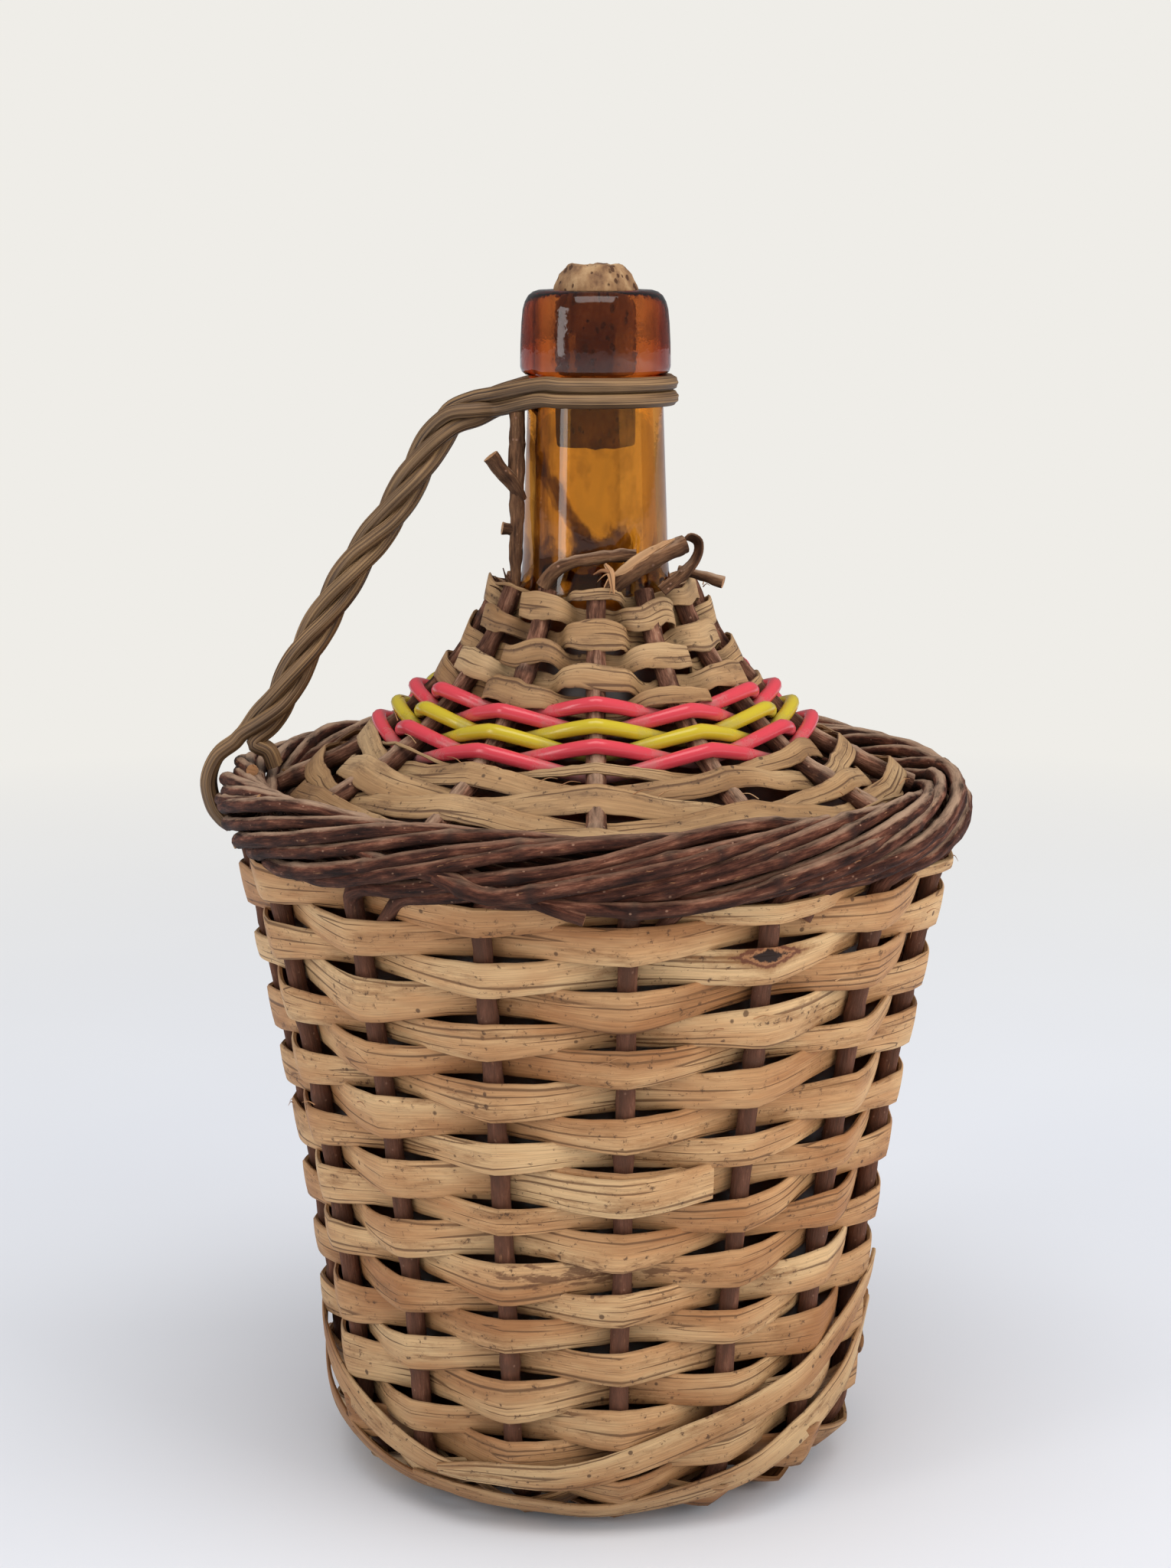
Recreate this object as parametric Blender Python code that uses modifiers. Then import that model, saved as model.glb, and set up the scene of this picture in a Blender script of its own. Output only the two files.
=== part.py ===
"""A wicker demijohn: an amber glass bottle with its cork, in a basket of willow stakes and split strips.

Metres, +Z up, the front towards -Y and the cane handle on the -X side.
The origin is the middle of the underside of the base, on the axis of the bottle.
"""
import math

import bmesh
import bpy
from mathutils import Matrix, Vector

# Clearances between touching pieces
GAP = 0.0003
WEAVE_CLEARANCE = 0.0006
BUTT_GAP = 0.0012
MERGE_DISTANCE = 0.00005

# Stakes of the side, which also make the border
STAKE_COUNT = 16
STAKE_TURN_DEG = 4.9
STAKE_RADIUS = 0.00275
STAKE_TIP_RADIUS = 0.0021
STAKE_BASE_HEIGHT = 0.0057
STAKE_START_SHARE = 0.535
FOOT_START_RADIUS = 0.0585
FOOT_BEND_RADIUS = 0.0195
WALL_FLARE_POWER = 1.4
WALL_STEP_POWER = 1.6

# Border, rolled from the tops of the side stakes
BORDER_RADIUS = 0.1036
BORDER_HEIGHT = 0.2028
BORDER_ROD_RADIUS = 0.00225
BORDER_WIDTH_SHARE = 2.53
BORDER_HEIGHT_SHARE = 3.29
BORDER_ROD_TIP_RADIUS = 0.0017
BORDER_SPAN = 7
BORDER_STEPS = 11
BORDER_BEND = 0.0062
BORDER_END_SHARE = 0.86

# Split strips of the wall and of the underside
SIDE_STRIP_WIDTH = 0.0085
SIDE_STRIP_THICKNESS = 0.0014
SIDE_ROW_GAP = 0.0008
BASE_ROW_COUNT = 4
BASE_STRIP_THICKNESS = 0.0012
BASE_ROW_GAP = 0.0004
BASE_WEAVE_MARGIN = 0.0031
WEAVE_START_STAKE = 4

# Split sticks of the base cross
BASE_STICK_COUNT = 3
BASE_STICK_WIDTH_SHARE = 0.243
BASE_STICK_THICKNESS = 0.0048
BASE_STICK_ROUNDING = 0.0018

# Shoulder stakes and the line that they follow
SHOULDER_STAKE_COUNT = 12
SHOULDER_STAKE_RADIUS = 0.0023
SHOULDER_STAKE_TIP_RADIUS = 0.0020
SHOULDER_TOP_OUTSET = 0.0059
SHOULDER_RISE = 0.0612
SHOULDER_LOW_INSET = 0.0030
SHOULDER_LOW_LIFT = 0.0025
# outward share and downward share of the shoulder line, from the neck to the border
SHOULDER_LINE_SHARES = (
    (0.0, 0.0), (0.09, 0.215), (0.235, 0.435), (0.396, 0.625), (0.579, 0.775), (0.733, 0.862), (0.88, 0.94),
    (1.0, 1.0))

# Split strips of the shoulder
SHOULDER_STRIP_THICKNESS = 0.0012
UPPER_STRIP_WIDTH = 0.0065
LOWER_STRIP_WIDTH = 0.0078
SHOULDER_ROW_GAP = 0.0005
UPPER_FIRST_ROW_MARGIN = 0.00095
LOWER_LAST_ROW_MARGIN = 0.0041
SHOULDER_START_STAKE = 3

# Coloured plastic strands
STRAND_RADIUS = 0.0016
STRAND_GAP = 0.0007
STRAND_START_SHARE = 0.40
STRAND_COUNT = 6

# Glass bottle
GLASS_WALL = 0.0030
GLASS_FLOOR = 0.0060
GLASS_PUNT_DEPTH = 0.0040
GLASS_FOOT_ROUNDING = 0.0120
GLASS_SHOULDER_TOP_CLEARANCE = 0.0050
GLASS_SHOULDER_CLEARANCE = 0.0065
GLASS_TOP_DROP = 0.0048
GLASS_FOOT_STEPS = 3
GLASS_WALL_SHARES = (0.14, 0.38, 0.62, 0.84)
# outward and downward shares of the hollow under the floor
GLASS_PUNT_SHARES = ((0.0, 1.0), (0.45, 0.75), (0.82, 0.0))
NECK_FOOT_RADIUS = 0.0216
NECK_TOP_RADIUS = 0.0196
NECK_FOOT_RISE = 0.0060
NECK_LENGTH = 0.0545
COLLAR_LOW_OUTSET = 0.0024
COLLAR_TOP_OUTSET = 0.0013
COLLAR_HEIGHT = 0.0245
COLLAR_ROUNDING = 0.0036
COLLAR_LOW_ROUNDING = 0.0018
MOUTH_RADIUS = 0.0127

# Cork
CORK_CLEARANCE = 0.0008
CORK_TAPER = 0.0005
CORK_STAND_OUT = 0.0075
CORK_LENGTH = 0.0530
CORK_CRUMBLE = 0.0022
# outward and downward shares of the crumbled top edge
CORK_CRUMBLE_SHARES = ((2.0, 0.1), (1.0, 0.8))

# Handle of two canes, each round the neck once, twisted into a rope of four strands
CANE_RADIUS = 0.00190
WRAP_GAP = 0.0005
ROPE_SLANT_SHARE = 1.052
ROPE_TURNS = 2
ROPE_STEPS = 18
ROPE_TOP_OUTSET = 0.0164
ROPE_TOP_DROP = 0.0102
ROPE_LOW_RISE = 0.0167
WRAP_STEPS = 14
# outward share and downward share of the rope's line, from the neck to the border
ROPE_LINE_SHARES = (
    (0.0, 0.0), (0.085, 0.025), (0.168, 0.093), (0.37, 0.326), (0.52, 0.467), (0.754, 0.745), (0.87, 0.895),
    (1.0, 1.0))
# place round the border in degrees and distance as a share of the closest lie, for both kinds of strand end
OUTER_LOOP_SHARES = ((72, 1.36), (45, 1.33), (15, 1.27), (-15, 1.15), (-38, 1.06), (-56, 1.0))
INNER_END_SHARES = ((118, 1.2), (138, 1.0))

# Twig held beside the neck, with a cut branch and a stub
TWIG_RADIUS = 0.0020
TWIG_SEAT = 0.0013
TWIG_AZIMUTH_DEG = 210
TWIG_TOP_AZIMUTH_DEG = 202
TWIG_TOP_OUTSET = 0.0028
TWIG_TOP_CLEARANCE = 0.0034
TWIG_STEM_SHARES = (0.0, 0.35, 0.7, 1.0)
TWIG_BRANCH_LENGTH = 0.0145
TWIG_STUB_LENGTH = 0.0042
# place up the stem, radius and direction of the branch and of the stub, as shares
TWIG_BRANCH_SHARES = (0.55, 0.95, (-0.62, -0.15, 0.77))
TWIG_STUB_SHARES = (0.33, 0.7, (-0.95, -0.2, 0.2))

# Broken stake ends round the foot of the neck
BROKEN_END_RADIUS = 0.0028
BROKEN_STUB_RADIUS = 0.0015
# azimuth in degrees, radius as a share of the shoulder's top, and the rise and the thickness as shares of
# the neck foot's rise and of the rod's radius
BROKEN_END_SHARES = ((-120.1, 1.059, 0.5, 0.7), (-85.7, 0.977, 1.05, 0.8), (-61.9, 1.08, 1.45, 0.9),
                     (-43.3, 1.273, 1.95, 1.0))
BROKEN_STUB_SHARES = ((-33.0, 1.067, 0.417, 1.0), (-29.6, 1.296, 0.333, 1.0), (-27.9, 1.523, 0.083, 1.0))


def replace_scene():
    """Removes what the file holds and returns the object's collection and the one for guides."""
    for item in list(bpy.data.objects):
        bpy.data.objects.remove(item, do_unlink=True)
    collections = []
    for name in ("wicker_demijohn", "guides"):
        collection = bpy.data.collections.new(name)
        bpy.context.scene.collection.children.link(collection)
        collections.append(collection)
    return collections


OBJECTS, GUIDES = replace_scene()


def material(name, colour, roughness, transmission=0.0):
    """A plain Principled material."""
    made = bpy.data.materials.new(name)
    made.use_nodes = True
    shader = made.node_tree.nodes["Principled BSDF"]
    shader.inputs["Base Color"].default_value = (*colour, 1.0)
    shader.inputs["Roughness"].default_value = roughness
    shader.inputs["Metallic"].default_value = 0.0
    shader.inputs["Transmission Weight"].default_value = transmission
    return made


def place(name, data, finish):
    """Puts a mesh or curve in the object's collection under its part name."""
    item = bpy.data.objects.new(name, data)
    data.materials.append(finish)
    OBJECTS.objects.link(item)
    return item


class Line:
    """A line in the plane of radius and height, read by the length run along it."""

    def __init__(self, points):
        self.points = [Vector(point) for point in points]
        self.runs = [0.0]
        for first, second in zip(self.points, self.points[1:]):
            self.runs.append(self.runs[-1] + (second - first).length)
        self.length = self.runs[-1]
        self.leads_up = self.points[-1].y > self.points[0].y

    def at(self, run):
        """The point at a run."""
        run = min(max(run, 0.0), self.length)
        for index in range(len(self.runs) - 1):
            if run <= self.runs[index + 1]:
                break
        span = self.runs[index + 1] - self.runs[index]
        return self.points[index].lerp(self.points[index + 1], (run - self.runs[index]) / span)

    def along(self, run):
        """The unit direction of the line at a run."""
        reach = self.length / 200
        return (self.at(run + reach) - self.at(run - reach)).normalized()

    def bend(self, run):
        """The curvature at a run."""
        reach = self.length / 40
        run = min(max(run, 2 * reach), self.length - 2 * reach)
        before, after = self.along(run - reach), self.along(run + reach)
        return before.angle(after) / (2 * reach)

    def run_at_radius(self, radius):
        """The first run at which the line reaches a radius, for a line that leads outwards."""
        for index in range(len(self.points) - 1):
            first, second = self.points[index], self.points[index + 1]
            if second.x >= radius:
                return self.runs[index] + (radius - first.x) / (second.x - first.x) * (second - first).length
        return self.length


def smooth_line(points, steps):
    """A Catmull-Rom line through points."""
    knots = [2 * Vector(points[0]) - Vector(points[1])] + [Vector(point) for point in points]
    knots.append(2 * knots[-1] - knots[-2])
    made = []
    for index in range(1, len(knots) - 2):
        before, first, second, after = knots[index - 1:index + 3]
        for step in range(steps):
            share = step / steps
            made.append(0.5 * (2 * first + (second - before) * share
                               + (2 * before - 5 * first + 4 * second - after) * share ** 2
                               + (3 * first - before - 3 * second + after) * share ** 3))
    made.append(knots[-2])
    return made


def arc(centre, radius, start_deg, end_deg, steps):
    """Points of an arc in the plane of radius and height."""
    made = []
    for step in range(steps + 1):
        angle = math.radians(start_deg + (end_deg - start_deg) * step / steps)
        made.append(Vector((centre[0] + radius * math.cos(angle), centre[1] + radius * math.sin(angle))))
    return made


# Sizes that follow from the ones above
WALL_START_RADIUS = FOOT_START_RADIUS + FOOT_BEND_RADIUS
WALL_START_HEIGHT = STAKE_BASE_HEIGHT + FOOT_BEND_RADIUS
BORDER_HALF_WIDTH = BORDER_ROD_RADIUS * BORDER_WIDTH_SHARE
BORDER_HALF_HEIGHT = BORDER_ROD_RADIUS * BORDER_HEIGHT_SHARE
WALL_TOP_HEIGHT = BORDER_HEIGHT - BORDER_HALF_HEIGHT - BORDER_BEND
STAKE_START_RADIUS = FOOT_START_RADIUS * STAKE_START_SHARE
BASE_STICK_WIDTH = STAKE_START_RADIUS * BASE_STICK_WIDTH_SHARE
BASE_WEAVE_SPAN = FOOT_START_RADIUS - STAKE_START_RADIUS - BASE_WEAVE_MARGIN
BASE_STRIP_WIDTH = (BASE_WEAVE_SPAN - (BASE_ROW_COUNT - 1) * BASE_ROW_GAP) / BASE_ROW_COUNT
SHOULDER_LOW_RADIUS = BORDER_RADIUS - BORDER_HALF_WIDTH - SHOULDER_LOW_INSET
SHOULDER_LOW_HEIGHT = BORDER_HEIGHT + SHOULDER_LOW_LIFT
SHOULDER_TOP_RADIUS = NECK_FOOT_RADIUS + SHOULDER_TOP_OUTSET
SHOULDER_TOP_HEIGHT = SHOULDER_LOW_HEIGHT + SHOULDER_RISE
NECK_FOOT_HEIGHT = SHOULDER_TOP_HEIGHT + NECK_FOOT_RISE
NECK_TOP_HEIGHT = NECK_FOOT_HEIGHT + NECK_LENGTH
MOUTH_HEIGHT = NECK_TOP_HEIGHT + COLLAR_HEIGHT
CANE_PITCH = 2 * CANE_RADIUS + WRAP_GAP
ROPE_RADIUS = (CANE_RADIUS + GAP / 2) * math.sqrt(2) * ROPE_SLANT_SHARE
STRAND_PITCH = 2 * STRAND_RADIUS + STRAND_GAP


def wall_radius(height):
    """The radius of the stakes' line at a height on the wall."""
    share = (height - WALL_START_HEIGHT) / (WALL_TOP_HEIGHT - WALL_START_HEIGHT)
    return WALL_START_RADIUS + (BORDER_RADIUS - WALL_START_RADIUS) * max(share, 0.0) ** WALL_FLARE_POWER


def stake_line_points(foot_steps, wall_steps):
    """The line of a side stake: under the base, round the foot and up the wall."""
    points = [Vector((STAKE_START_RADIUS, STAKE_BASE_HEIGHT))]
    points += arc((FOOT_START_RADIUS, WALL_START_HEIGHT), FOOT_BEND_RADIUS, -90, 0, foot_steps)
    for step in range(1, wall_steps + 1):
        share = (step / wall_steps) ** WALL_STEP_POWER
        height = WALL_START_HEIGHT + (WALL_TOP_HEIGHT - WALL_START_HEIGHT) * share
        points.append(Vector((wall_radius(height), height)))
    return points


def shoulder_point(shares):
    """A point of the shoulder line from its two shares."""
    return Vector((SHOULDER_TOP_RADIUS + (SHOULDER_LOW_RADIUS - SHOULDER_TOP_RADIUS) * shares[0],
                   SHOULDER_TOP_HEIGHT - (SHOULDER_TOP_HEIGHT - SHOULDER_LOW_HEIGHT) * shares[1]))


STAKE_LINE = Line(stake_line_points(24, 24))
SHOULDER_LINE = Line(smooth_line([shoulder_point(shares) for shares in SHOULDER_LINE_SHARES], 6))


def turned(point, azimuth):
    """A point of radius and height, turned to an azimuth."""
    return Vector((point[0] * math.cos(azimuth), point[0] * math.sin(azimuth), point[1]))


def stake_azimuth(number, count, turn_deg):
    """The azimuth of a stake, counted from the front towards the right."""
    return math.radians(-90 + turn_deg + 360 * number / count)


def rod(name, points, radii, finish, sides_level=1):
    """A round rod through points: a poly curve with a bevel, its radius given at each point."""
    curve = bpy.data.curves.new(name, "CURVE")
    curve.dimensions = "3D"
    curve.bevel_depth = max(radii)
    curve.bevel_resolution = sides_level
    curve.use_fill_caps = True
    spline = curve.splines.new("POLY")
    spline.points.add(len(points) - 1)
    for knot, point, radius in zip(spline.points, points, radii):
        knot.co = (*point, 1.0)
        knot.radius = radius / curve.bevel_depth
    spline.use_smooth = True
    return place(name, curve, finish)


def strip(name, stations, thickness, finish):
    """A flat split strip: a ribbon between its two edges, given its thickness by Solidify."""
    mesh = bpy.data.meshes.new(name)
    edges = bmesh.new()
    pairs = [(edges.verts.new(lower), edges.verts.new(upper)) for lower, upper in stations]
    for first, second in zip(pairs, pairs[1:]):
        edges.faces.new((first[0], second[0], second[1], first[1]))
    bmesh.ops.recalc_face_normals(edges, faces=edges.faces)
    edges.to_mesh(mesh)
    edges.free()
    item = place(name, mesh, finish)
    shell = item.modifiers.new("thickness", "SOLIDIFY")
    shell.thickness = thickness
    shell.offset = 0.0
    return item


def reach_of_weave(spacing, stake_radius, half_thickness):
    """How far a strip's middle passes from the stakes' line, over or under them, at a stake spacing."""
    clear = stake_radius + WEAVE_CLEARANCE + half_thickness
    return clear / math.sqrt(max(1 - (2 * clear / spacing) ** 2, 0.25))


def weave_steps(runs, pitch, count):
    """How many stakes a strip passes between two runs, at two rows in each turn."""
    return int(round((runs[1] - runs[0]) / (2 * pitch) * count, 6))


def weave_stations(line, runs, pitch, first_stake, number, count, turn_deg, width, half_thickness, radius_at):
    """Stations of one of two strips that chase each other along a line, over one stake and under the next.

    Strip 1 starts half way round from strip 0, and both move on two rows in each turn.
    """
    stations = []
    for step in range(weave_steps(runs, pitch, count) + 1):
        run = runs[0] + 2 * pitch * step / count
        point, along = line.at(run), line.along(run)
        outward = Vector((along.y, -along.x)) if line.leads_up else Vector((-along.y, along.x))
        spacing = 2 * math.pi * point.x / count
        reach = reach_of_weave(spacing, radius_at(run), half_thickness)
        reach += line.bend(run) * (width / 2) ** 2 / 2
        stake = first_stake + number * count // 2 + step
        side = 1 if (stake + number) % 2 == 0 else -1
        middle = point + outward * reach * side
        azimuth = stake_azimuth(stake, count, turn_deg)
        half = along * width / 2
        stations.append((turned(middle - half, azimuth), turned(middle + half, azimuth)))
    return stations


def lathe(name, outline, finish, steps=32):
    """A turned solid from an outline that starts and ends on the axis."""
    mesh = bpy.data.meshes.new(name)
    profile = bmesh.new()
    verts = [profile.verts.new((point[0], 0.0, point[1])) for point in outline]
    for first, second in zip(verts, verts[1:]):
        profile.edges.new((first, second))
    profile.to_mesh(mesh)
    profile.free()
    item = place(name, mesh, finish)
    turn = item.modifiers.new("turn", "SCREW")
    turn.axis = "Z"
    turn.angle = 2 * math.pi
    turn.steps = steps
    turn.render_steps = steps
    turn.use_merge_vertices = True
    turn.merge_threshold = MERGE_DISTANCE
    turn.use_smooth_shade = True
    return item


# Finishes
WILLOW_BARK = material("willow_bark", (0.105, 0.052, 0.040), 0.75)
SPLIT_CHESTNUT = material("split_chestnut", (0.58, 0.37, 0.17), 0.65)
WEATHERED_STRIP = material("weathered_strip", (0.33, 0.20, 0.10), 0.75)
AMBER_GLASS = material("amber_glass", (0.45, 0.14, 0.02), 0.05, 1.0)
CORK = material("cork", (0.33, 0.19, 0.10), 0.9)
PINK_PLASTIC = material("pink_plastic", (0.75, 0.07, 0.11), 0.3)
YELLOW_PLASTIC = material("yellow_plastic", (0.70, 0.56, 0.04), 0.3)
RATTAN_CANE = material("rattan_cane", (0.29, 0.18, 0.08), 0.6)


def base_stake_radius(run):
    """The radius of a side stake at a run of its line: thinner at its end under the base."""
    share = min(run / STAKE_LINE.run_at_radius(FOOT_START_RADIUS), 1.0)
    return STAKE_TIP_RADIUS + (STAKE_RADIUS - STAKE_TIP_RADIUS) * share


def shoulder_stake_radius(run):
    """The radius of a shoulder stake at a run of the shoulder line, thinner towards the neck."""
    share = run / SHOULDER_LINE.length
    return SHOULDER_STAKE_TIP_RADIUS + (SHOULDER_STAKE_RADIUS - SHOULDER_STAKE_TIP_RADIUS) * share


def side_reach():
    """The furthest that the side weave reaches from the stakes' line."""
    half = SIDE_STRIP_THICKNESS / 2
    spacing = 2 * math.pi * FOOT_START_RADIUS / STAKE_COUNT
    bulge = (SIDE_STRIP_WIDTH / 2) ** 2 / (2 * FOOT_BEND_RADIUS)
    return reach_of_weave(spacing, STAKE_RADIUS, half) + half + bulge


def border_point(stakes_on):
    """The middle of a border rod, a number of stake spacings after its own stake, as radius and height."""
    phase = math.radians(-90 + 360 * stakes_on / BORDER_SPAN)
    return Vector((BORDER_RADIUS + BORDER_HALF_WIDTH * math.cos(phase),
                   BORDER_HEIGHT + BORDER_HALF_HEIGHT * math.sin(phase)))


def make_side_stakes():
    """Sixteen willow stakes, each bent up at the foot and laid round the border at its top."""
    line_points = stake_line_points(4, 4)
    spacing_deg = 360 / STAKE_COUNT
    bend_stakes = BORDER_BEND / (BORDER_RADIUS * math.radians(spacing_deg))
    for number in range(STAKE_COUNT):
        azimuth = stake_azimuth(number, STAKE_COUNT, STAKE_TURN_DEG)
        points = [turned(point, azimuth) for point in line_points]
        radii = [base_stake_radius(STAKE_LINE.run_at_radius(point.x)) for point in line_points]
        radii[-1] = (STAKE_RADIUS + BORDER_ROD_RADIUS) / 2
        half_way = border_point(0.0) - Vector((0.0, BORDER_BEND * (1 - math.sqrt(0.5))))
        turn = bend_stakes * (1 - math.sqrt(0.5))
        points.append(turned(half_way, azimuth + math.radians(spacing_deg * turn)))
        radii.append(BORDER_ROD_RADIUS)
        last = BORDER_SPAN - 1 + BORDER_END_SHARE
        for step in range(BORDER_STEPS + 1):
            stakes_on = bend_stakes + (last - bend_stakes) * step / BORDER_STEPS
            points.append(turned(border_point(stakes_on), azimuth + math.radians(spacing_deg * stakes_on)))
            share = step / BORDER_STEPS
            radii.append(BORDER_ROD_RADIUS + (BORDER_ROD_TIP_RADIUS - BORDER_ROD_RADIUS) * share)
        rod(f"side_stake_{number + 1:02d}", points, radii, WILLOW_BARK)


def base_stick_length(is_middle):
    """The length of a base stick, whose ends butt against the ends of the stakes under the bottle."""
    turn = math.radians(STAKE_TURN_DEG if is_middle else 360 / STAKE_COUNT - STAKE_TURN_DEG)
    return 2 * (STAKE_START_RADIUS * math.cos(turn) - STAKE_TIP_RADIUS * math.sin(turn) - GAP)


def make_base_cross():
    """The crossed split sticks under the bottle: a lower layer along X and an upper layer along Y."""
    pitch = BASE_STICK_WIDTH + GAP
    for layer, name in enumerate(("lower", "upper")):
        height = BASE_STICK_THICKNESS / 2 + layer * (BASE_STICK_THICKNESS + GAP)
        for number in range(BASE_STICK_COUNT):
            offset = (number - (BASE_STICK_COUNT - 1) / 2) * pitch
            bpy.ops.mesh.primitive_cube_add(size=1.0)
            item = bpy.context.object
            item.name = f"base_stick_{name}_{number + 1}"
            item.data.name = item.name
            scale = Vector((base_stick_length(offset == 0), BASE_STICK_WIDTH, BASE_STICK_THICKNESS))
            item.data.transform(Matrix.Diagonal((*scale, 1.0)))
            item.rotation_euler.z = layer * math.pi / 2
            item.location = (0.0, offset, height) if layer == 0 else (offset, 0.0, height)
            for collection in list(item.users_collection):
                collection.objects.unlink(item)
            OBJECTS.objects.link(item)
            item.data.materials.append(SPLIT_CHESTNUT)
            round_top_edges(item)


def round_top_edges(item):
    """Rounds the two long top edges of a split stick, whose underside stays flat."""
    shaped = bmesh.new()
    shaped.from_mesh(item.data)
    top = max(vert.co.z for vert in shaped.verts)
    chosen = []
    for edge in shaped.edges:
        ends = [vert.co for vert in edge.verts]
        if all(end.z == top for end in ends) and ends[0].y == ends[1].y:
            chosen.append(edge)
    bmesh.ops.bevel(shaped, geom=chosen, offset=BASE_STICK_ROUNDING, segments=2, profile=0.5, affect="EDGES")
    shaped.to_mesh(item.data)
    shaped.free()


def make_base_weavers():
    """Two narrow strips that chase each other round the stakes under the bottle.

    Returns the run at which they end and the stake after the last one that strip 0 passes.
    """
    pitch = BASE_STRIP_WIDTH + BASE_ROW_GAP
    runs = (BASE_WEAVE_MARGIN + BASE_STRIP_WIDTH / 2,
            FOOT_START_RADIUS - STAKE_START_RADIUS - BASE_STRIP_WIDTH / 2)
    for number, letter in enumerate("ab"):
        stations = weave_stations(
            STAKE_LINE, runs, pitch, WEAVE_START_STAKE, number, STAKE_COUNT, STAKE_TURN_DEG,
            BASE_STRIP_WIDTH, BASE_STRIP_THICKNESS / 2, base_stake_radius)
        strip(f"base_weaver_{letter}", stations, BASE_STRIP_THICKNESS, SPLIT_CHESTNUT)
    steps = weave_steps(runs, pitch, STAKE_COUNT)
    return runs[0] + 2 * pitch * steps / STAKE_COUNT, WEAVE_START_STAKE + steps + 1


def make_side_weavers(base_end_run, first_stake):
    """Two wide split strips that follow the narrow ones and chase each other from the foot to the border."""
    runs = (base_end_run + (SIDE_STRIP_WIDTH - BASE_STRIP_WIDTH) / 2 + BUTT_GAP,
            STAKE_LINE.length - (SIDE_STRIP_WIDTH - BORDER_BEND) / 2)
    for number, letter in enumerate("ab"):
        stations = weave_stations(
            STAKE_LINE, runs, SIDE_STRIP_WIDTH + SIDE_ROW_GAP, first_stake, number, STAKE_COUNT,
            STAKE_TURN_DEG, SIDE_STRIP_WIDTH, SIDE_STRIP_THICKNESS / 2, base_stake_radius)
        strip(f"side_weaver_{letter}", stations, SIDE_STRIP_THICKNESS, SPLIT_CHESTNUT)


def make_shoulder_stakes():
    """Twelve thin stakes from the inner side of the border up to the foot of the neck."""
    points = [shoulder_point(shares) for shares in SHOULDER_LINE_SHARES]
    radii = [shoulder_stake_radius(SHOULDER_LINE.run_at_radius(point.x)) for point in points]
    for number in range(SHOULDER_STAKE_COUNT):
        azimuth = stake_azimuth(number, SHOULDER_STAKE_COUNT, 0)
        path = [turned(point, azimuth) for point in points]
        rod(f"shoulder_stake_{number + 1:02d}", path, radii, WILLOW_BARK)


def make_shoulder_strips(name, edge_runs, width):
    """Two weathered strips that chase each other round the shoulder stakes, between two runs of the line."""
    runs = (edge_runs[0] + width / 2, edge_runs[1] - width / 2)
    for number, letter in enumerate("ab"):
        stations = weave_stations(
            SHOULDER_LINE, runs, width + SHOULDER_ROW_GAP, SHOULDER_START_STAKE, number, SHOULDER_STAKE_COUNT,
            0, width, SHOULDER_STRIP_THICKNESS / 2, shoulder_stake_radius)
        strip(f"{name}_{letter}", stations, SHOULDER_STRIP_THICKNESS, WEATHERED_STRIP)


def make_strands():
    """Six plastic strands in three pairs, each over one stake and under the next."""
    colours = (("pink", PINK_PLASTIC), ("yellow", YELLOW_PLASTIC), ("pink", PINK_PLASTIC))
    for number in range(STRAND_COUNT):
        pair, partner = divmod(number, 2)
        colour, finish = colours[pair % len(colours)]
        run = SHOULDER_LINE.length * STRAND_START_SHARE + number * STRAND_PITCH
        point, along = SHOULDER_LINE.at(run), SHOULDER_LINE.along(run)
        outward = Vector((-along.y, along.x))
        spacing = 2 * math.pi * point.x / SHOULDER_STAKE_COUNT
        reach = reach_of_weave(spacing, shoulder_stake_radius(run), STRAND_RADIUS)
        first = 6 + partner
        points = []
        for step in range(SHOULDER_STAKE_COUNT + 1):
            side = 1 if step % 2 == 0 else -1
            azimuth = stake_azimuth(first + step, SHOULDER_STAKE_COUNT, 0)
            points.append(turned(point + outward * reach * side, azimuth))
        shorten = (points[-2] - points[-1]).normalized() * (STRAND_RADIUS + BUTT_GAP)
        points[-1] = points[-1] + shorten
        points[0] = points[0] + (points[1] - points[0]).normalized() * (STRAND_RADIUS + BUTT_GAP)
        rod(f"{colour}_strand_{pair + 1}{'ab'[partner]}", points, [STRAND_RADIUS] * len(points), finish)


def glass_outer_outline():
    """The outside of the bottle from the middle of its bottom to the top of the collar."""
    inset = side_reach() + GAP
    floor = STAKE_BASE_HEIGHT + inset
    foot_centre = (FOOT_START_RADIUS + GAP, floor + GLASS_FOOT_ROUNDING)
    points = [Vector((foot_centre[0] * outward, floor + GLASS_PUNT_DEPTH * upward))
              for outward, upward in GLASS_PUNT_SHARES]
    points += arc(foot_centre, GLASS_FOOT_ROUNDING, -90, 0, GLASS_FOOT_STEPS)
    for share in GLASS_WALL_SHARES:
        height = WALL_START_HEIGHT + (WALL_TOP_HEIGHT - WALL_START_HEIGHT) * share
        points.append(Vector((wall_radius(height) - inset, height)))
    body_radius = wall_radius(WALL_TOP_HEIGHT) - inset
    points.append(Vector((body_radius, WALL_TOP_HEIGHT - GLASS_TOP_DROP)))
    for shares in reversed(SHOULDER_LINE_SHARES[:-1]):
        middle = shoulder_point(shares)
        run = SHOULDER_LINE.run_at_radius(middle.x)
        along = SHOULDER_LINE.along(run)
        inward = Vector((along.y, -along.x))
        depth = GLASS_SHOULDER_TOP_CLEARANCE if shares[0] == 0 else GLASS_SHOULDER_CLEARANCE
        points.append(middle + inward * depth)
    points.append(Vector((NECK_FOOT_RADIUS, NECK_FOOT_HEIGHT)))
    points.append(Vector((NECK_TOP_RADIUS, NECK_TOP_HEIGHT)))
    return points


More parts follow.
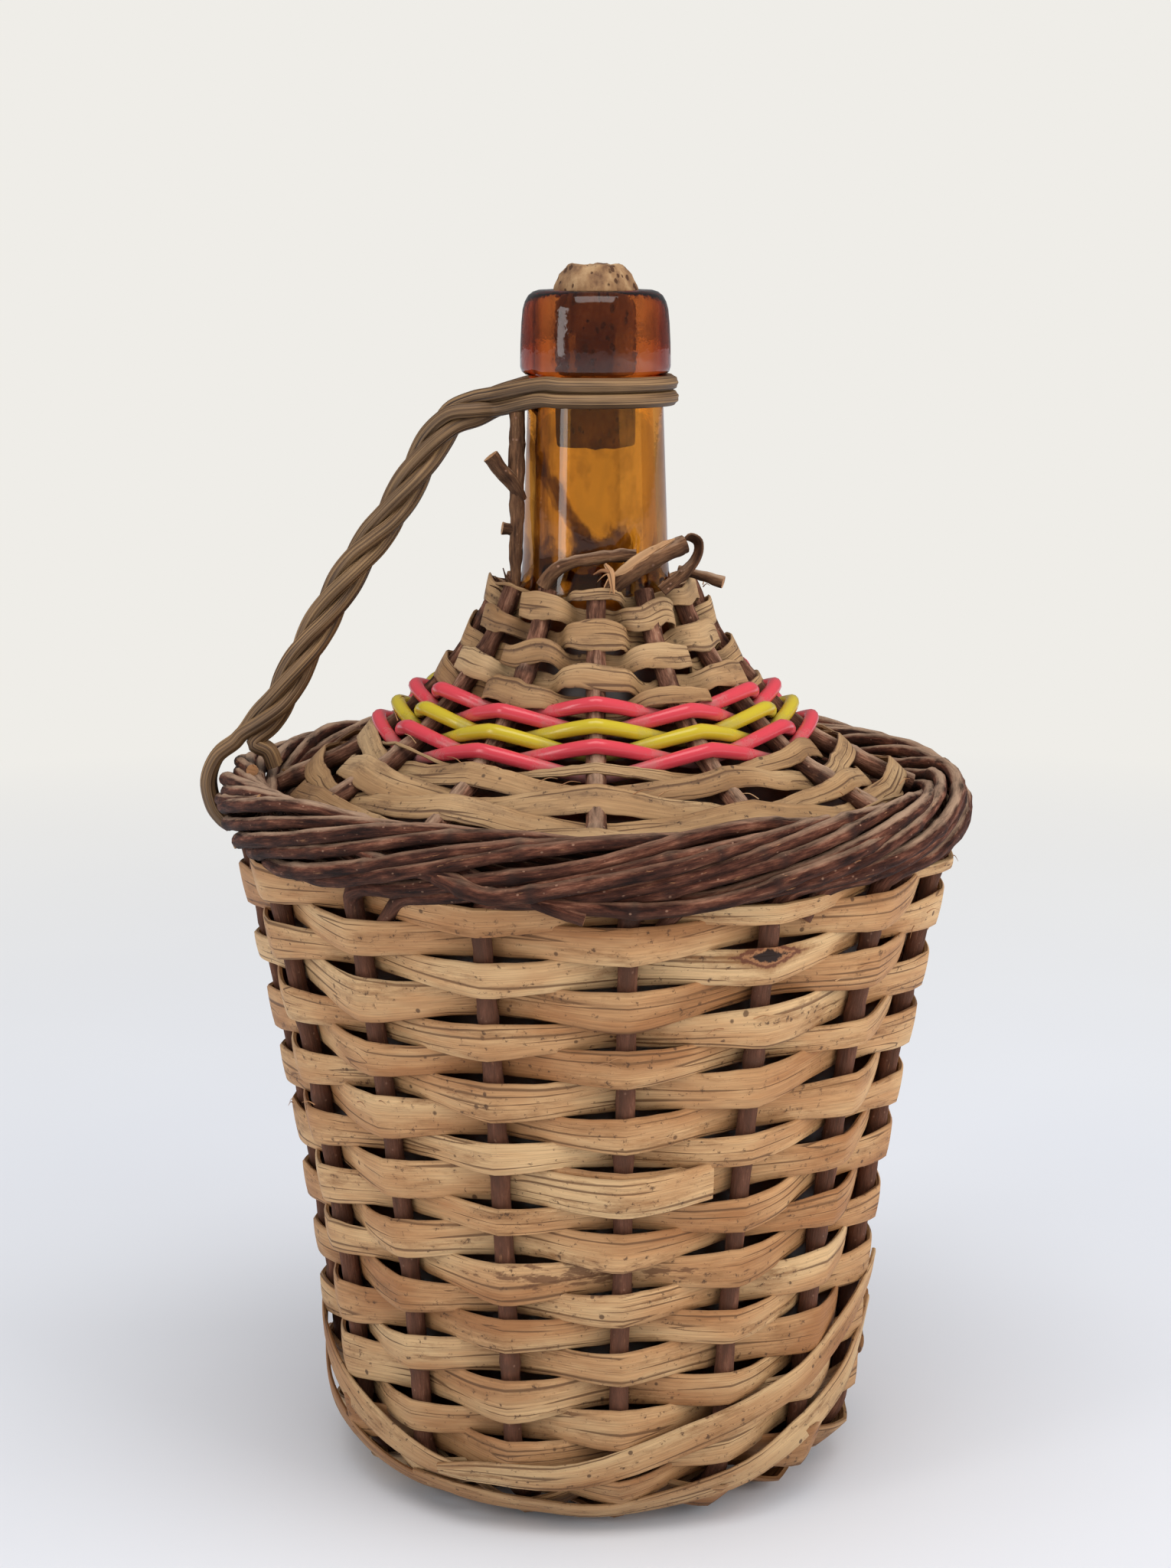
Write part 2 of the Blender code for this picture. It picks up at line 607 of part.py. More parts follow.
def collar_outline():
    """The rolled collar above the neck, from its underside to its top."""
    low = NECK_TOP_RADIUS + COLLAR_LOW_OUTSET - COLLAR_LOW_ROUNDING
    top = NECK_TOP_RADIUS + COLLAR_TOP_OUTSET - COLLAR_ROUNDING
    points = arc((low, NECK_TOP_HEIGHT + COLLAR_LOW_ROUNDING), COLLAR_LOW_ROUNDING, -90, 0, 2)
    points += arc((top, MOUTH_HEIGHT - COLLAR_ROUNDING), COLLAR_ROUNDING, 0, 90, 4)
    return points


def glass_inner_outline():
    """The inside of the bottle from the mouth to the middle of its floor, a wall inside the outer line."""
    line = glass_outer_outline()[len(GLASS_PUNT_SHARES) + GLASS_FOOT_STEPS:]
    points = [Vector((MOUTH_RADIUS, MOUTH_HEIGHT)), Vector((MOUTH_RADIUS, NECK_TOP_HEIGHT)),
              Vector((NECK_TOP_RADIUS - GLASS_WALL, NECK_TOP_HEIGHT - GLASS_WALL))]
    for index in range(len(line) - 2, 0, -1):
        along = (line[index + 1] - line[index - 1]).normalized()
        points.append(line[index] + Vector((-along.y, along.x)) * GLASS_WALL)
    floor = STAKE_BASE_HEIGHT + side_reach() + GAP + GLASS_FLOOR
    foot = line[0].x - GLASS_WALL
    rounding = GLASS_FOOT_ROUNDING - GLASS_WALL
    points += reversed(arc((foot - rounding, floor + rounding), rounding, -90, 0, GLASS_FOOT_STEPS - 1))
    points.append(Vector((0.0, floor + GLASS_PUNT_DEPTH)))
    return points


def make_glass():
    """The hollow amber bottle, turned from one outline that runs down its outside and up its inside."""
    outside = glass_outer_outline() + collar_outline()
    outline = list(reversed(glass_inner_outline())) + list(reversed(outside))
    lathe("glass_bottle", outline, AMBER_GLASS)


def make_cork():
    """The tapered cork, its top edge crumbled away."""
    top, radius = MOUTH_HEIGHT + CORK_STAND_OUT, MOUTH_RADIUS - CORK_CLEARANCE
    outline = [(0.0, top)]
    outline += [(radius - CORK_CRUMBLE * inward, top - CORK_CRUMBLE * downward)
                for inward, downward in CORK_CRUMBLE_SHARES]
    outline += [(radius, MOUTH_HEIGHT + CORK_CLEARANCE), (radius - CORK_TAPER, top - CORK_LENGTH),
                (0.0, top - CORK_LENGTH)]
    lathe("cork_stopper", outline, CORK, 20)


def rope_line():
    """The line of the rope's middle, from beside the neck down to the border."""
    top = Vector((NECK_TOP_RADIUS + ROPE_TOP_OUTSET, NECK_TOP_HEIGHT - ROPE_TOP_DROP))
    low = Vector((BORDER_RADIUS, BORDER_HEIGHT + ROPE_LOW_RISE))
    points = [Vector((top.x + (low.x - top.x) * outward, top.y + (low.y - top.y) * downward))
              for outward, downward in ROPE_LINE_SHARES]
    return Line(smooth_line(points, 6))


ROPE_LINE = rope_line()


def rope_point(share, phase_deg):
    """A point on the middle of one strand of the rope, at a share of the rope's length."""
    run = ROPE_LINE.length * share
    along = ROPE_LINE.along(run)
    phase = math.radians(phase_deg + 360 * ROPE_TURNS * share)
    middle = ROPE_LINE.at(run) + Vector((-along.y, along.x)) * ROPE_RADIUS * math.cos(phase)
    return Vector((-middle.x, ROPE_RADIUS * math.sin(phase), middle.y))


def round_border(phase_deg, share, sideways):
    """A point beside the border on the handle's side, at a place round it and a share of the closest lie."""
    margin = BORDER_ROD_RADIUS + GAP + CANE_RADIUS
    phase = math.radians(phase_deg)
    return Vector((-BORDER_RADIUS - (BORDER_HALF_WIDTH + margin) * share * math.cos(phase), sideways,
                   BORDER_HEIGHT + (BORDER_HALF_HEIGHT + margin) * share * math.sin(phase)))


def make_handle_cane(name, number, end_shares):
    """One long cane: up the rope, round the neck below the collar, and down the rope again."""
    height = NECK_TOP_HEIGHT - GAP - CANE_RADIUS - number * CANE_PITCH
    sides = []
    for direction in (-1, 1):
        phase = direction * (45 + 90 * number)
        side = [round_border(place_deg, share, direction * CANE_PITCH / 2)
                for place_deg, share in reversed(end_shares)]
        side += [rope_point(1 - step / ROPE_STEPS, phase) for step in range(ROPE_STEPS + 1)]
        sides.append(side)
    start = sides[0][-1]
    neck_share = (height - NECK_FOOT_HEIGHT) / (NECK_TOP_HEIGHT - NECK_FOOT_HEIGHT)
    neck = NECK_FOOT_RADIUS + (NECK_TOP_RADIUS - NECK_FOOT_RADIUS) * neck_share
    lie = neck + GAP + CANE_RADIUS
    reach = math.hypot(start.x, start.y)
    leave = math.atan2(-start.y, -start.x) + math.acos(lie / reach)
    half_span = math.pi - leave
    lie /= math.cos(half_span / WRAP_STEPS)
    wrap = []
    for step in range(WRAP_STEPS + 1):
        azimuth = -half_span + 2 * half_span * step / WRAP_STEPS
        wrap.append(Vector((lie * math.cos(azimuth), lie * math.sin(azimuth), height)))
    points = sides[0] + wrap + list(reversed(sides[1]))
    rod(name, points, [CANE_RADIUS] * len(points), RATTAN_CANE)


def solid_from_rod(item):
    """The rod as a mesh object with its caps welded, ready to be joined to another."""
    depsgraph = bpy.context.evaluated_depsgraph_get()
    mesh = bpy.data.meshes.new_from_object(item.evaluated_get(depsgraph))
    welded = bmesh.new()
    welded.from_mesh(mesh)
    bmesh.ops.remove_doubles(welded, verts=welded.verts, dist=GAP / 10)
    welded.to_mesh(mesh)
    welded.free()
    name, place_matrix = item.name, item.matrix_world.copy()
    bpy.data.objects.remove(item, do_unlink=True)
    made = bpy.data.objects.new(name, mesh)
    made.matrix_world = place_matrix
    OBJECTS.objects.link(made)
    return made


def make_neck_twig():
    """The twig beside the neck, standing on a stake's end, with its cut branch and its stub joined to it."""
    low = turned(SHOULDER_LINE.at(0.0) - SHOULDER_LINE.along(0.0) * TWIG_SEAT, math.radians(TWIG_AZIMUTH_DEG))
    top_height = NECK_TOP_HEIGHT - 2 * CANE_PITCH - TWIG_TOP_CLEARANCE
    top = turned((NECK_TOP_RADIUS + TWIG_RADIUS + TWIG_TOP_OUTSET, top_height),
                 math.radians(TWIG_TOP_AZIMUTH_DEG))
    stem_points = [low.lerp(top, share) for share in TWIG_STEM_SHARES]
    stem = solid_from_rod(rod("neck_twig", stem_points, [TWIG_RADIUS] * len(stem_points), WILLOW_BARK))
    arms = (("twig_branch", TWIG_BRANCH_LENGTH, TWIG_BRANCH_SHARES),
            ("twig_stub", TWIG_STUB_LENGTH, TWIG_STUB_SHARES))
    for name, length, (share, thickness_share, direction) in arms:
        root = low.lerp(top, share)
        end = root + Vector(direction).normalized() * (length + TWIG_RADIUS)
        radii = [TWIG_RADIUS * thickness_share] * 2
        arm = solid_from_rod(rod(name, [root, end], radii, WILLOW_BARK))
        join = stem.modifiers.new(name, "BOOLEAN")
        join.operation = "UNION"
        join.object = arm
        arm.hide_render = True
        arm.display_type = "WIRE"
        OBJECTS.objects.unlink(arm)
        GUIDES.objects.link(arm)


def make_broken_ends():
    """Two broken stake ends that lie round the foot of the neck."""
    ends = (("broken_stake_end", BROKEN_END_RADIUS, BROKEN_END_SHARES),
            ("broken_stake_stub", BROKEN_STUB_RADIUS, BROKEN_STUB_SHARES))
    for name, thickness, table in ends:
        points, radii = [], []
        for azimuth, outward, upward, thickness_share in table:
            place_on = (SHOULDER_TOP_RADIUS * outward, SHOULDER_TOP_HEIGHT + NECK_FOOT_RISE * upward)
            points.append(turned(place_on, math.radians(azimuth)))
            radii.append(thickness * thickness_share)
        rod(name, points, radii, WILLOW_BARK)


make_glass()
make_cork()
make_side_stakes()
make_base_cross()
make_side_weavers(*make_base_weavers())
make_shoulder_stakes()
STRANDS_TOP_RUN = SHOULDER_LINE.length * STRAND_START_SHARE - STRAND_RADIUS - GAP
STRANDS_LOW_RUN = STRANDS_TOP_RUN + (STRAND_COUNT - 1) * STRAND_PITCH + 2 * (STRAND_RADIUS + GAP)
make_shoulder_strips("upper_shoulder_strip", (UPPER_FIRST_ROW_MARGIN, STRANDS_TOP_RUN), UPPER_STRIP_WIDTH)
make_shoulder_strips("lower_shoulder_strip", (STRANDS_LOW_RUN, SHOULDER_LINE.length - LOWER_LAST_ROW_MARGIN),
                     LOWER_STRIP_WIDTH)
make_strands()
make_handle_cane("handle_cane_upper", 0, OUTER_LOOP_SHARES)
make_handle_cane("handle_cane_lower", 1, INNER_END_SHARES)
make_neck_twig()
make_broken_ends()
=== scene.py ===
"""The looks of a wicker demijohn: an amber glass bottle in a basket of willow rods and split chestnut strips.

The sections follow the basket maker: base, stakes, side, border, shoulder, handle, then the small ends left over.
Lengths are in millimetres, +Z is up, -Y is the front and the handle is on the -X side.
"""
import functools
import math

import bmesh
import bpy
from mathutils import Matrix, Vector, noise


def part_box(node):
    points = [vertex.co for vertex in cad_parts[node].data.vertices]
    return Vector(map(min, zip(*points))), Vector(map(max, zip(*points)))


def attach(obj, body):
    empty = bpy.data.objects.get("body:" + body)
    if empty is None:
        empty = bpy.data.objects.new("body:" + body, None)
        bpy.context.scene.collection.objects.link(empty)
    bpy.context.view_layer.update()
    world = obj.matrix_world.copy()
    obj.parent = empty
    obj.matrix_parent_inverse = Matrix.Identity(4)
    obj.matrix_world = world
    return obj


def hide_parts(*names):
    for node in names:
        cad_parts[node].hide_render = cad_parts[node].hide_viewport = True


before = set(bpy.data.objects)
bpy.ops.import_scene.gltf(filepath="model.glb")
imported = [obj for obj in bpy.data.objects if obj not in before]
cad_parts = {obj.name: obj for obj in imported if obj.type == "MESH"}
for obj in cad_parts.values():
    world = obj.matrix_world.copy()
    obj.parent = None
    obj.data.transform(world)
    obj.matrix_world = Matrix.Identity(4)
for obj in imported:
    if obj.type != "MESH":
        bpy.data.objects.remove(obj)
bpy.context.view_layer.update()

# Base cross: three split sticks over three more, which the stakes butt against under the bottle.
# Cleft chestnut, sawn off square: pale honey wood with straight grain, fine cracks and dark specks,
# dry and matt because it was never varnished.
BASKET = "basket_and_bottle"
STICK_CROWN, STICK_STEPS, STICK_WANDER = 0.5, 20, 0.25


def linear(hex_colour):
    """An sRGB hex colour as the linear colour that a shader takes."""
    channels = [int(hex_colour[place:place + 2], 16) / 255 for place in (1, 3, 5)]
    return (*[c / 12.92 if c <= 0.04045 else ((c + 0.055) / 1.055) ** 2.4 for c in channels], 1.0)


def add_node(tree, kind, values=(), out=0, stops=(), **settings):
    """Adds a node and gives one of its outputs; each value is a constant or the output of another node."""
    made = tree.nodes.new("ShaderNode" + kind)
    for name, value in settings.items():
        setattr(made, name, value)
    for socket, value in values.items() if isinstance(values, dict) else enumerate(values):
        if isinstance(value, bpy.types.NodeSocket):
            tree.links.new(value, made.inputs[socket])
        else:
            made.inputs[socket].default_value = value
    for index, (position, colour) in enumerate(stops):
        ramp = made.color_ramp.elements
        stop = ramp[index] if index < 2 else ramp.new(position)
        stop.position = position
        stop.color = linear(colour)
    return made.outputs[out]


def new_material(name, constants):
    """A finish with the constants of its shader, and the function that adds a node to it."""
    made = bpy.data.materials.new(name)
    made.use_nodes = True
    for socket, value in constants.items():
        made.node_tree.nodes["Principled BSDF"].inputs[socket].default_value = value
    return made, functools.partial(add_node, made.node_tree)


def wire(made, links, height=None, strength=0.0, distance=0.0):
    """Links a finish's shader, bumps its surface if it has a height, and gives the finish back."""
    tree = made.node_tree
    if height is not None:
        links["Normal"] = add_node(tree, "Bump", {"Height": height, "Strength": strength, "Distance": distance})
    for socket, output in links.items():
        tree.links.new(output, tree.nodes["Principled BSDF"].inputs[socket])
    return made


def drawn_noise(add, place, along, across, detail, roughness=0.5, shift=(0, 0, 0), distortion=0.0):
    """Noise drawn out along a piece, its size along and across given in millimetres."""
    drawn = add("Mapping", {0: place, 1: shift, 3: (1 / along, 1 / across, 1)})
    return add("TexNoise", {"Vector": drawn, "Scale": 1.0, "Detail": detail, "Roughness": roughness,
                            "Distortion": distortion})


def lay(add, below, depth, colour=None, levels=None):
    """Lays a colour over another to a depth, or shades it if no colour is given.

    Levels turn a field into the depth: from its low and high, to a low and a high.
    """
    if levels:
        depth = add("MapRange", [depth, *levels])
    if colour:
        return add("Mix", {0: depth, 6: below, 7: linear(colour)}, 2, data_type="RGBA")
    return add("Mix", {0: 1.0, 6: below, 7: depth}, 2, data_type="RGBA", blend_type="MULTIPLY")


def away_from(add, middle, size, weights):
    """The distance from a spot given in millimetres, as a share of its size along each weighted axis."""
    off = add("Mapping", {0: add("NewGeometry"), 1: [-m / s for m, s in zip(middle, size)],
                          3: [1000 / s for s in size]})
    sides = add("VectorMath", [off], operation="ABSOLUTE")
    return add("VectorMath", [sides, weights], "Value", operation="DOT_PRODUCT")


def split_wood(name, colours, crack_and_edge_shade, speck, stain, knots=(), damp_places=()):
    """Split wood with its grain along the strip, whose UV map is in millimetres."""
    made, add = new_material(name, {"Roughness": 0.62, "IOR": 1.5, "Specular IOR Level": 0.35})
    place = add("UVMap")
    # tone: each cleft length has its own colour, which also drifts over some 60 mm
    piece = drawn_noise(add, place, 260, 60, 1.0)
    patch = drawn_noise(add, place, 60, 14, 4.0, 0.6)
    tone = add("Mix", {0: 0.5, 2: piece, 3: patch})
    wood = add("ValToRGB", [tone], stops=[(0.41, colours[0]), (0.58, colours[2]), (0.49, colours[1])])
    # grain: growth rings that the split cuts lengthwise, 0.45 mm apart and some 25 mm long
    grain = drawn_noise(add, place, 25, 0.45, 4.0, 0.65)
    wood = lay(add, wood, grain, levels=(0.36, 0.64, 0.80, 1.12))
    # cracks: drying opens them along the grain where the noise crosses its middle value, hair thin, a hand long,
    # one to three side by side; the slope beside keeps their width even, and the breaks end them
    here, beside = [drawn_noise(add, place, 130, 3.6, 0.0, shift=(0, aside, 0), distortion=0.15)
                    for aside in (0, 0.1)]
    from_middle = add("Math", [add("Math", [here, 0.5], operation="SUBTRACT")], operation="ABSOLUTE")
    steepness = add("Math", [add("Math", [here, beside], operation="SUBTRACT")], operation="ABSOLUTE")
    breaks = drawn_noise(add, place, 45, 6, 3.0, shift=(7, 3, 0))
    openness = add("MapRange", [breaks, 0.45, 0.62, 0.0, 1.5])
    crack_width = add("Math", [steepness, openness, 0.0001], operation="MULTIPLY_ADD")
    crack_near = add("Math", [from_middle, crack_width], operation="DIVIDE")
    cracks = add("MapRange", [crack_near, 0.35, 1.0, 0.8, 0.0])
    wood = lay(add, wood, cracks, crack_and_edge_shade)
    # specks: pin knots a millimetre across, one to some 9 mm
    dots = add("TexVoronoi", {"Vector": place, "Scale": 1 / 9})
    dot_size = add("Math", [patch, 0.16, -0.025], operation="MULTIPLY_ADD")
    dot_edge = add("Math", [dots, dot_size], operation="SUBTRACT")
    wood = lay(add, wood, dot_edge, speck, (0.0, 0.03, 0.8, 0.0))
    # stains: damp browned the wood in streaks some 25 mm long, with flecks of mould in them
    damp = drawn_noise(add, place, 25, 5, 6.0, 0.72, shift=(3, 8, 0))
    wood = lay(add, wood, damp, stain, (0.51, 0.68, 0.0, 0.85))
    mould = add("TexNoise", {"Vector": place, "Scale": 1 / 2.2, "Detail": 5.0, "Roughness": 0.75})
    mould_level = add("Math", [damp, 0.35, mould], operation="MULTIPLY_ADD")
    wood = lay(add, wood, mould_level, speck, (0.765, 0.84, 0.0, 0.85))
    # edges: painted shade darkens the split edges, where the rows meet, and the inner face behind the strip
    wood = lay(add, wood, add("Attribute", out="Fac", attribute_name="edge"), crack_and_edge_shade, (0.3, 1.0, 0.0, 0.5))
    # blots: where the basket stood wet, it left brown blots some 7 mm long
    for middle, size in damp_places:
        away = away_from(add, middle, size, (1.0, 1.0, 1.0))
        near = add("MapRange", [away, 0.3, 1.3, 0.19, -0.1])
        blots = drawn_noise(add, place, 7, 2.0, 5.0, 0.62, shift=(1, 4, 0))
        blot_level = add("Math", [blots, near], operation="ADD")
        wood = lay(add, wood, blot_level, "#684228", (0.62, 0.70, 0.0, 0.8))
    # knots: eye-shaped holes with a reddish rim where a branch grew
    for middle, size in knots:
        away = away_from(add, middle, size, (1.0, 0.0, 1.0))
        ragged = add("Math", [mould, 1.0, away], operation="MULTIPLY_ADD")
        for outer, inner, depth, hue in ((2.1, 1.5, 0.8, "#94663A"), (1.55, 1.4, 1.0, "#6E4028"),
                                         (1.25, 1.15, 1.0, "#A5714A"), (1.1, 0.95, 1.0, "#2C1A12")):
            wood = lay(add, wood, ragged, hue, (inner, outer, depth, 0.0))
    # painted shade: the lowest 90 mm are darkened towards the floor, where the foot of the basket lies in shade
    wood = lay(add, wood, add("SeparateXYZ", [add("NewGeometry")], "Z"), levels=(0.0, 0.09, 0.72, 1.0))
    return wire(made, {"Base Color": wood}, add("Math", [grain, cracks], operation="SUBTRACT"), 0.6, 0.0004)


CHESTNUT = split_wood("split_chestnut", ("#A87346", "#C19263", "#D6B080"), "#5E3D22", "#4B3120", "#8C6038",
                      [((46.5, -97.5, 176.4), (11.0, 20.0, 4.0))],
                      [((-4.0, -87.0, 81.5), (62.0, 90.0, 8.0))])


def add_object(name, data):
    """A new object in the scene."""
    made = bpy.data.objects.new(name, data)
    bpy.context.scene.collection.objects.link(made)
    return made


def loft(name, rings, alongs, arounds, finish, end_finish=None, **attributes):
    """A closed skin through rings of points, with the lengths along and around it as its UV map."""
    count, last = len(rings[0]), len(rings) - 1
    faces, uvs = [], []
    for row in range(last):
        for place in range(count):
            after = (place + 1) % count
            corners = ((0, place), (0, after), (1, after), (1, place))
            faces.append([(row + up) * count + side for up, side in corners])
            uvs += [(alongs[row + up], arounds[place + side]) for up, side in ((0, 0), (0, 1), (1, 1), (1, 0))]
    for row in (0, last):
        faces.append(list(range(row * count, (row + 1) * count)))
        uvs += [(alongs[row] + rings[row][place].z, arounds[place]) for place in range(count)]
    mesh = bpy.data.meshes.new(name)
    mesh.from_pydata([point * 0.001 for ring in rings for point in ring], [], faces)
    mesh.uv_layers.new(name="millimetres").data.foreach_set("uv", [value for uv in uvs for value in uv])
    mesh.materials.append(finish)
    mesh.materials.append(end_finish or finish)
    for index, face in enumerate(mesh.polygons):
        is_end = index >= len(faces) - 2
        face.use_smooth = not is_end
        face.material_index = 1 if is_end else 0
    for key, values in attributes.items():
        mesh.attributes.new(key, "FLOAT", "POINT").data.foreach_set("value", values)
    skin = bmesh.new()
    skin.from_mesh(mesh)
    bmesh.ops.recalc_face_normals(skin, faces=skin.faces)
    skin.to_mesh(mesh)
    skin.free()
    mesh.set_sharp_from_angle(angle=math.radians(48))
    item = add_object(name, mesh)
    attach(item, BASKET)
    return item


def strip_ring(middle, across, outward, halves, thickness, crown):
    """The outline of a split strip: a crowned outside, thin edges and a flatter inside."""
    ring = []
    for share, level in ((-1, 0.1), (-0.9, 0.5), (-0.5, 0.5), (0, 0.5), (0.5, 0.5), (0.9, 0.5), (1, 0.1),
                         (0.9, -0.5), (0, -0.5), (-0.9, -0.5)):
        half = halves[0] if share < 0 else halves[1]
        rise = thickness * level + crown * (1 - share * share)
        ring.append(middle + across * half * share + outward * rise)
    return ring


STRIP_EDGES = (1.0, 0.3, 0.0, 0.0, 0.0, 0.3, 1.0, 0.7, 0.5, 0.7)


def across_lengths(width):
    """The lengths round a strip's outline, the same as strip_ring's places."""
    return [width * share for share in (-0.5, -0.45, -0.25, 0, 0.25, 0.45, 0.5, 0.55, 1.0, 1.45, 1.5)]


for layer, along, across in (("lower", Vector((1, 0, 0)), Vector((0, 1, 0))),
                             ("upper", Vector((0, 1, 0)), Vector((1, 0, 0)))):
    for number in (1, 2, 3):
        node = f"base_stick_{layer}_{number}"
        low, high = [corner * 1000 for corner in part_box(node)]
        size = high - low
        middle = (low + high) / 2 - Vector((0, 0, STICK_CROWN / 2))
        half_length, half_width = size.dot(along) / 2, size.dot(across) / 2
        rings, alongs = [], []
        for step in range(STICK_STEPS + 1):
            place = half_length * (2 * step / STICK_STEPS - 1)
            wander = noise.noise(Vector((place / 9, number * 5.1, len(layer)))) * STICK_WANDER
            halves = (half_width - 0.2 + wander, half_width - 0.2 - wander)
            rings.append(strip_ring(middle + along * place, across, Vector((0, 0, 1)), halves, size.z - STICK_CROWN,
                                    STICK_CROWN))
            alongs.append(place + number * 130)
        stick = loft(f"cleft_{node}", rings, alongs, across_lengths(2 * half_width), CHESTNUT,
                     edge=STRIP_EDGES * len(rings))
        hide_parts(node)

# Side stakes: sixteen unpeeled willow rods, a finger apart under the bottle, bent up at the foot, and at the
# top laid down one over the next as the rolled border. Cut in winter and woven green, the bark dried
# red-brown and dull, with buds, scuffs down to the wood, and paler worn backs where the rods bend.
STAKE_COUNT, STAKE_TURN = 16, 4.9
BASE_HEIGHT, STAKE_START, FOOT_START, FOOT_BEND = 5.7, 31.3, 58.5, 19.5
BORDER_RADIUS, BORDER_HEIGHT, BORDER_BEND = 103.6, 202.8, 6.2
BORDER_HALF_WIDTH, BORDER_HALF_HEIGHT = 5.7, 7.4
BORDER_MIDDLE, BORDER_ROLL, BORDER_SPAN = Vector((104.0, 201.8)), Vector((6.4, 8.8)), 6.4
WALL_LOW, WALL_TOP, WALL_FLARE = BASE_HEIGHT + FOOT_BEND, BORDER_HEIGHT - BORDER_HALF_HEIGHT - BORDER_BEND, 1.4
BORDER_WANDER, BORDER_STEP = Vector((1.8, 2.4)), 0.28
STAKE_THIN, STAKE_THICK, STAKE_TAPER, ROD_THICK, ROD_TIP = 2.1, 2.75, 30, 2.4, 1.6
BUD_HEIGHT, BUD_REACH, BUD_SPACING = 0.45, 2.0, 34.0
BARK_LUMPS = {"lumps": 0.28, "lump_size": 6.0}


def willow_bark(name, colours):
    """Unpeeled willow with a dull, scaly bark."""
    made, add = new_material(name, {"Roughness": 0.72, "IOR": 1.5, "Specular IOR Level": 0.25})
    place = add("UVMap")
    tone = drawn_noise(add, place, 16, 4, 6.0, 0.68)
    bark = add("ValToRGB", [tone], stops=[(0.36, colours[0]), (0.68, colours[3]), (0.47, colours[1]),
                                          (0.57, colours[2])])
    # bark splits lengthwise as it dries, every 0.6 mm or so
    splits = drawn_noise(add, place, 6, 0.6, 4.0, 0.7)
    bark = lay(add, bark, splits, levels=(0.36, 0.64, 0.68, 1.24))
    # scuffs: handling wore the bark through to the orange wood in long thin patches
    wear = drawn_noise(add, place, 9, 1.8, 5.0, 0.65, shift=(5, 2, 0))
    bark = lay(add, bark, wear, "#B9825A", (0.63, 0.70, 0.0, 0.85))
    # scars: rings where a leaf sat, dark and a little raised, every 30 to 40 mm, and pores 3.4 mm apart
    bark = lay(add, bark, add("Attribute", out="Fac", attribute_name="bud"), "#33201A", (0.35, 0.9, 0.0, 0.7))
    pores = add("TexVoronoi", {"Vector": place, "Scale": 1 / 3.4})
    bark = lay(add, bark, pores, "#A98068", (0.07, 0.14, 0.75, 0.0))
    # dust: it has settled on what faces up, less in front where hands rub it; the stakes in the wall are faded,
    # and what faces down is painted darker, as shade on the undersides
    facing_up = add("SeparateXYZ", [add("NewGeometry", out="Normal")], "Z")
    to_back, high = [add("SeparateXYZ", [add("NewGeometry")], axis) for axis in "YZ"]
    dust = add("MapRange", [add("Math", [facing_up, tone], operation="MULTIPLY"), 0.27, 0.52, 0.0, 0.8])
    handled = add("MapRange", [to_back, -0.108, -0.075, 0.3, 1.15])
    bark = lay(add, bark, add("Math", [dust, handled], operation="MULTIPLY"), "#B3947A")
    bark = lay(add, bark, high, "#8A5F49", (0.183, 0.193, 0.45, 0.0))
    # painted shade: bark darkened by its slope, down to 0.4 where it faces the floor
    bark = lay(add, bark, facing_up, levels=(-0.8, 0.25, 0.4, 1.0))
    return wire(made, {"Base Color": bark}, add("Math", [splits, tone], operation="ADD"), 1.0, 0.0005)


WILLOW = willow_bark("willow_bark", ("#260F08", "#4C281B", "#704230", "#A36F56"))
CUT_WILLOW = split_wood("cut_willow", ("#9C6A45", "#BC8A5E", "#CFA77C"), "#5E3D22", "#5E3D22", "#85603C")


def spot(radius, height, angle):
    """A point at a distance from the bottle's axis, a height and an angle."""
    return Vector((radius * math.cos(angle), radius * math.sin(angle), height))


def stake_angle(stake, count, turn=0.0):
    """The angle of a stake, counted from the front towards the right."""
    return math.radians(-90 + turn + 360 * stake / count)


def smooth(points, steps):
    """A smooth path through points."""
    knots = [2 * points[0] - points[1], *points, 2 * points[-1] - points[-2]]
    made = []
    for index in range(1, len(knots) - 2):
        before, first, second, after = knots[index - 1:index + 3]
        for step in range(steps):
            t = step / steps
            made.append(0.5 * (2 * first + (second - before) * t
                               + (2 * before - 5 * first + 4 * second - after) * t ** 2
                               + (3 * first - before - 3 * second + after) * t ** 3))
    return made + [points[-1]]


def lengths_of(path):
    """The length run along a path at each of its points."""
    made = [0.0]
    for first, second in zip(path, path[1:]):
        made.append(made[-1] + (second - first).length)
    return made


def tube_rings(path, thicknesses, sides, lumps, lump_size, flutes=0, flute_depth=0.0):
    """Rings round a path, each with its radius, made lumpy by noise and fluted if asked."""
    rings = []
    side = (path[1] - path[0]).orthogonal().normalized()
    for index, middle in enumerate(path):
        ahead = (path[min(index + 1, len(path) - 1)] - path[max(index - 1, 0)]).normalized()
        side = (side - ahead * side.dot(ahead)).normalized()
        other = ahead.cross(side)
        ring = []
        for place in range(sides):
            angle = 2 * math.pi * place / sides
            outward = side * math.cos(angle) + other * math.sin(angle)
            radius = thicknesses[index] + flute_depth * math.cos(flutes * angle)
            radius += lumps * noise.noise((middle + outward * radius) / lump_size)
            ring.append(middle + outward * radius)
        rings.append(ring)
    return rings


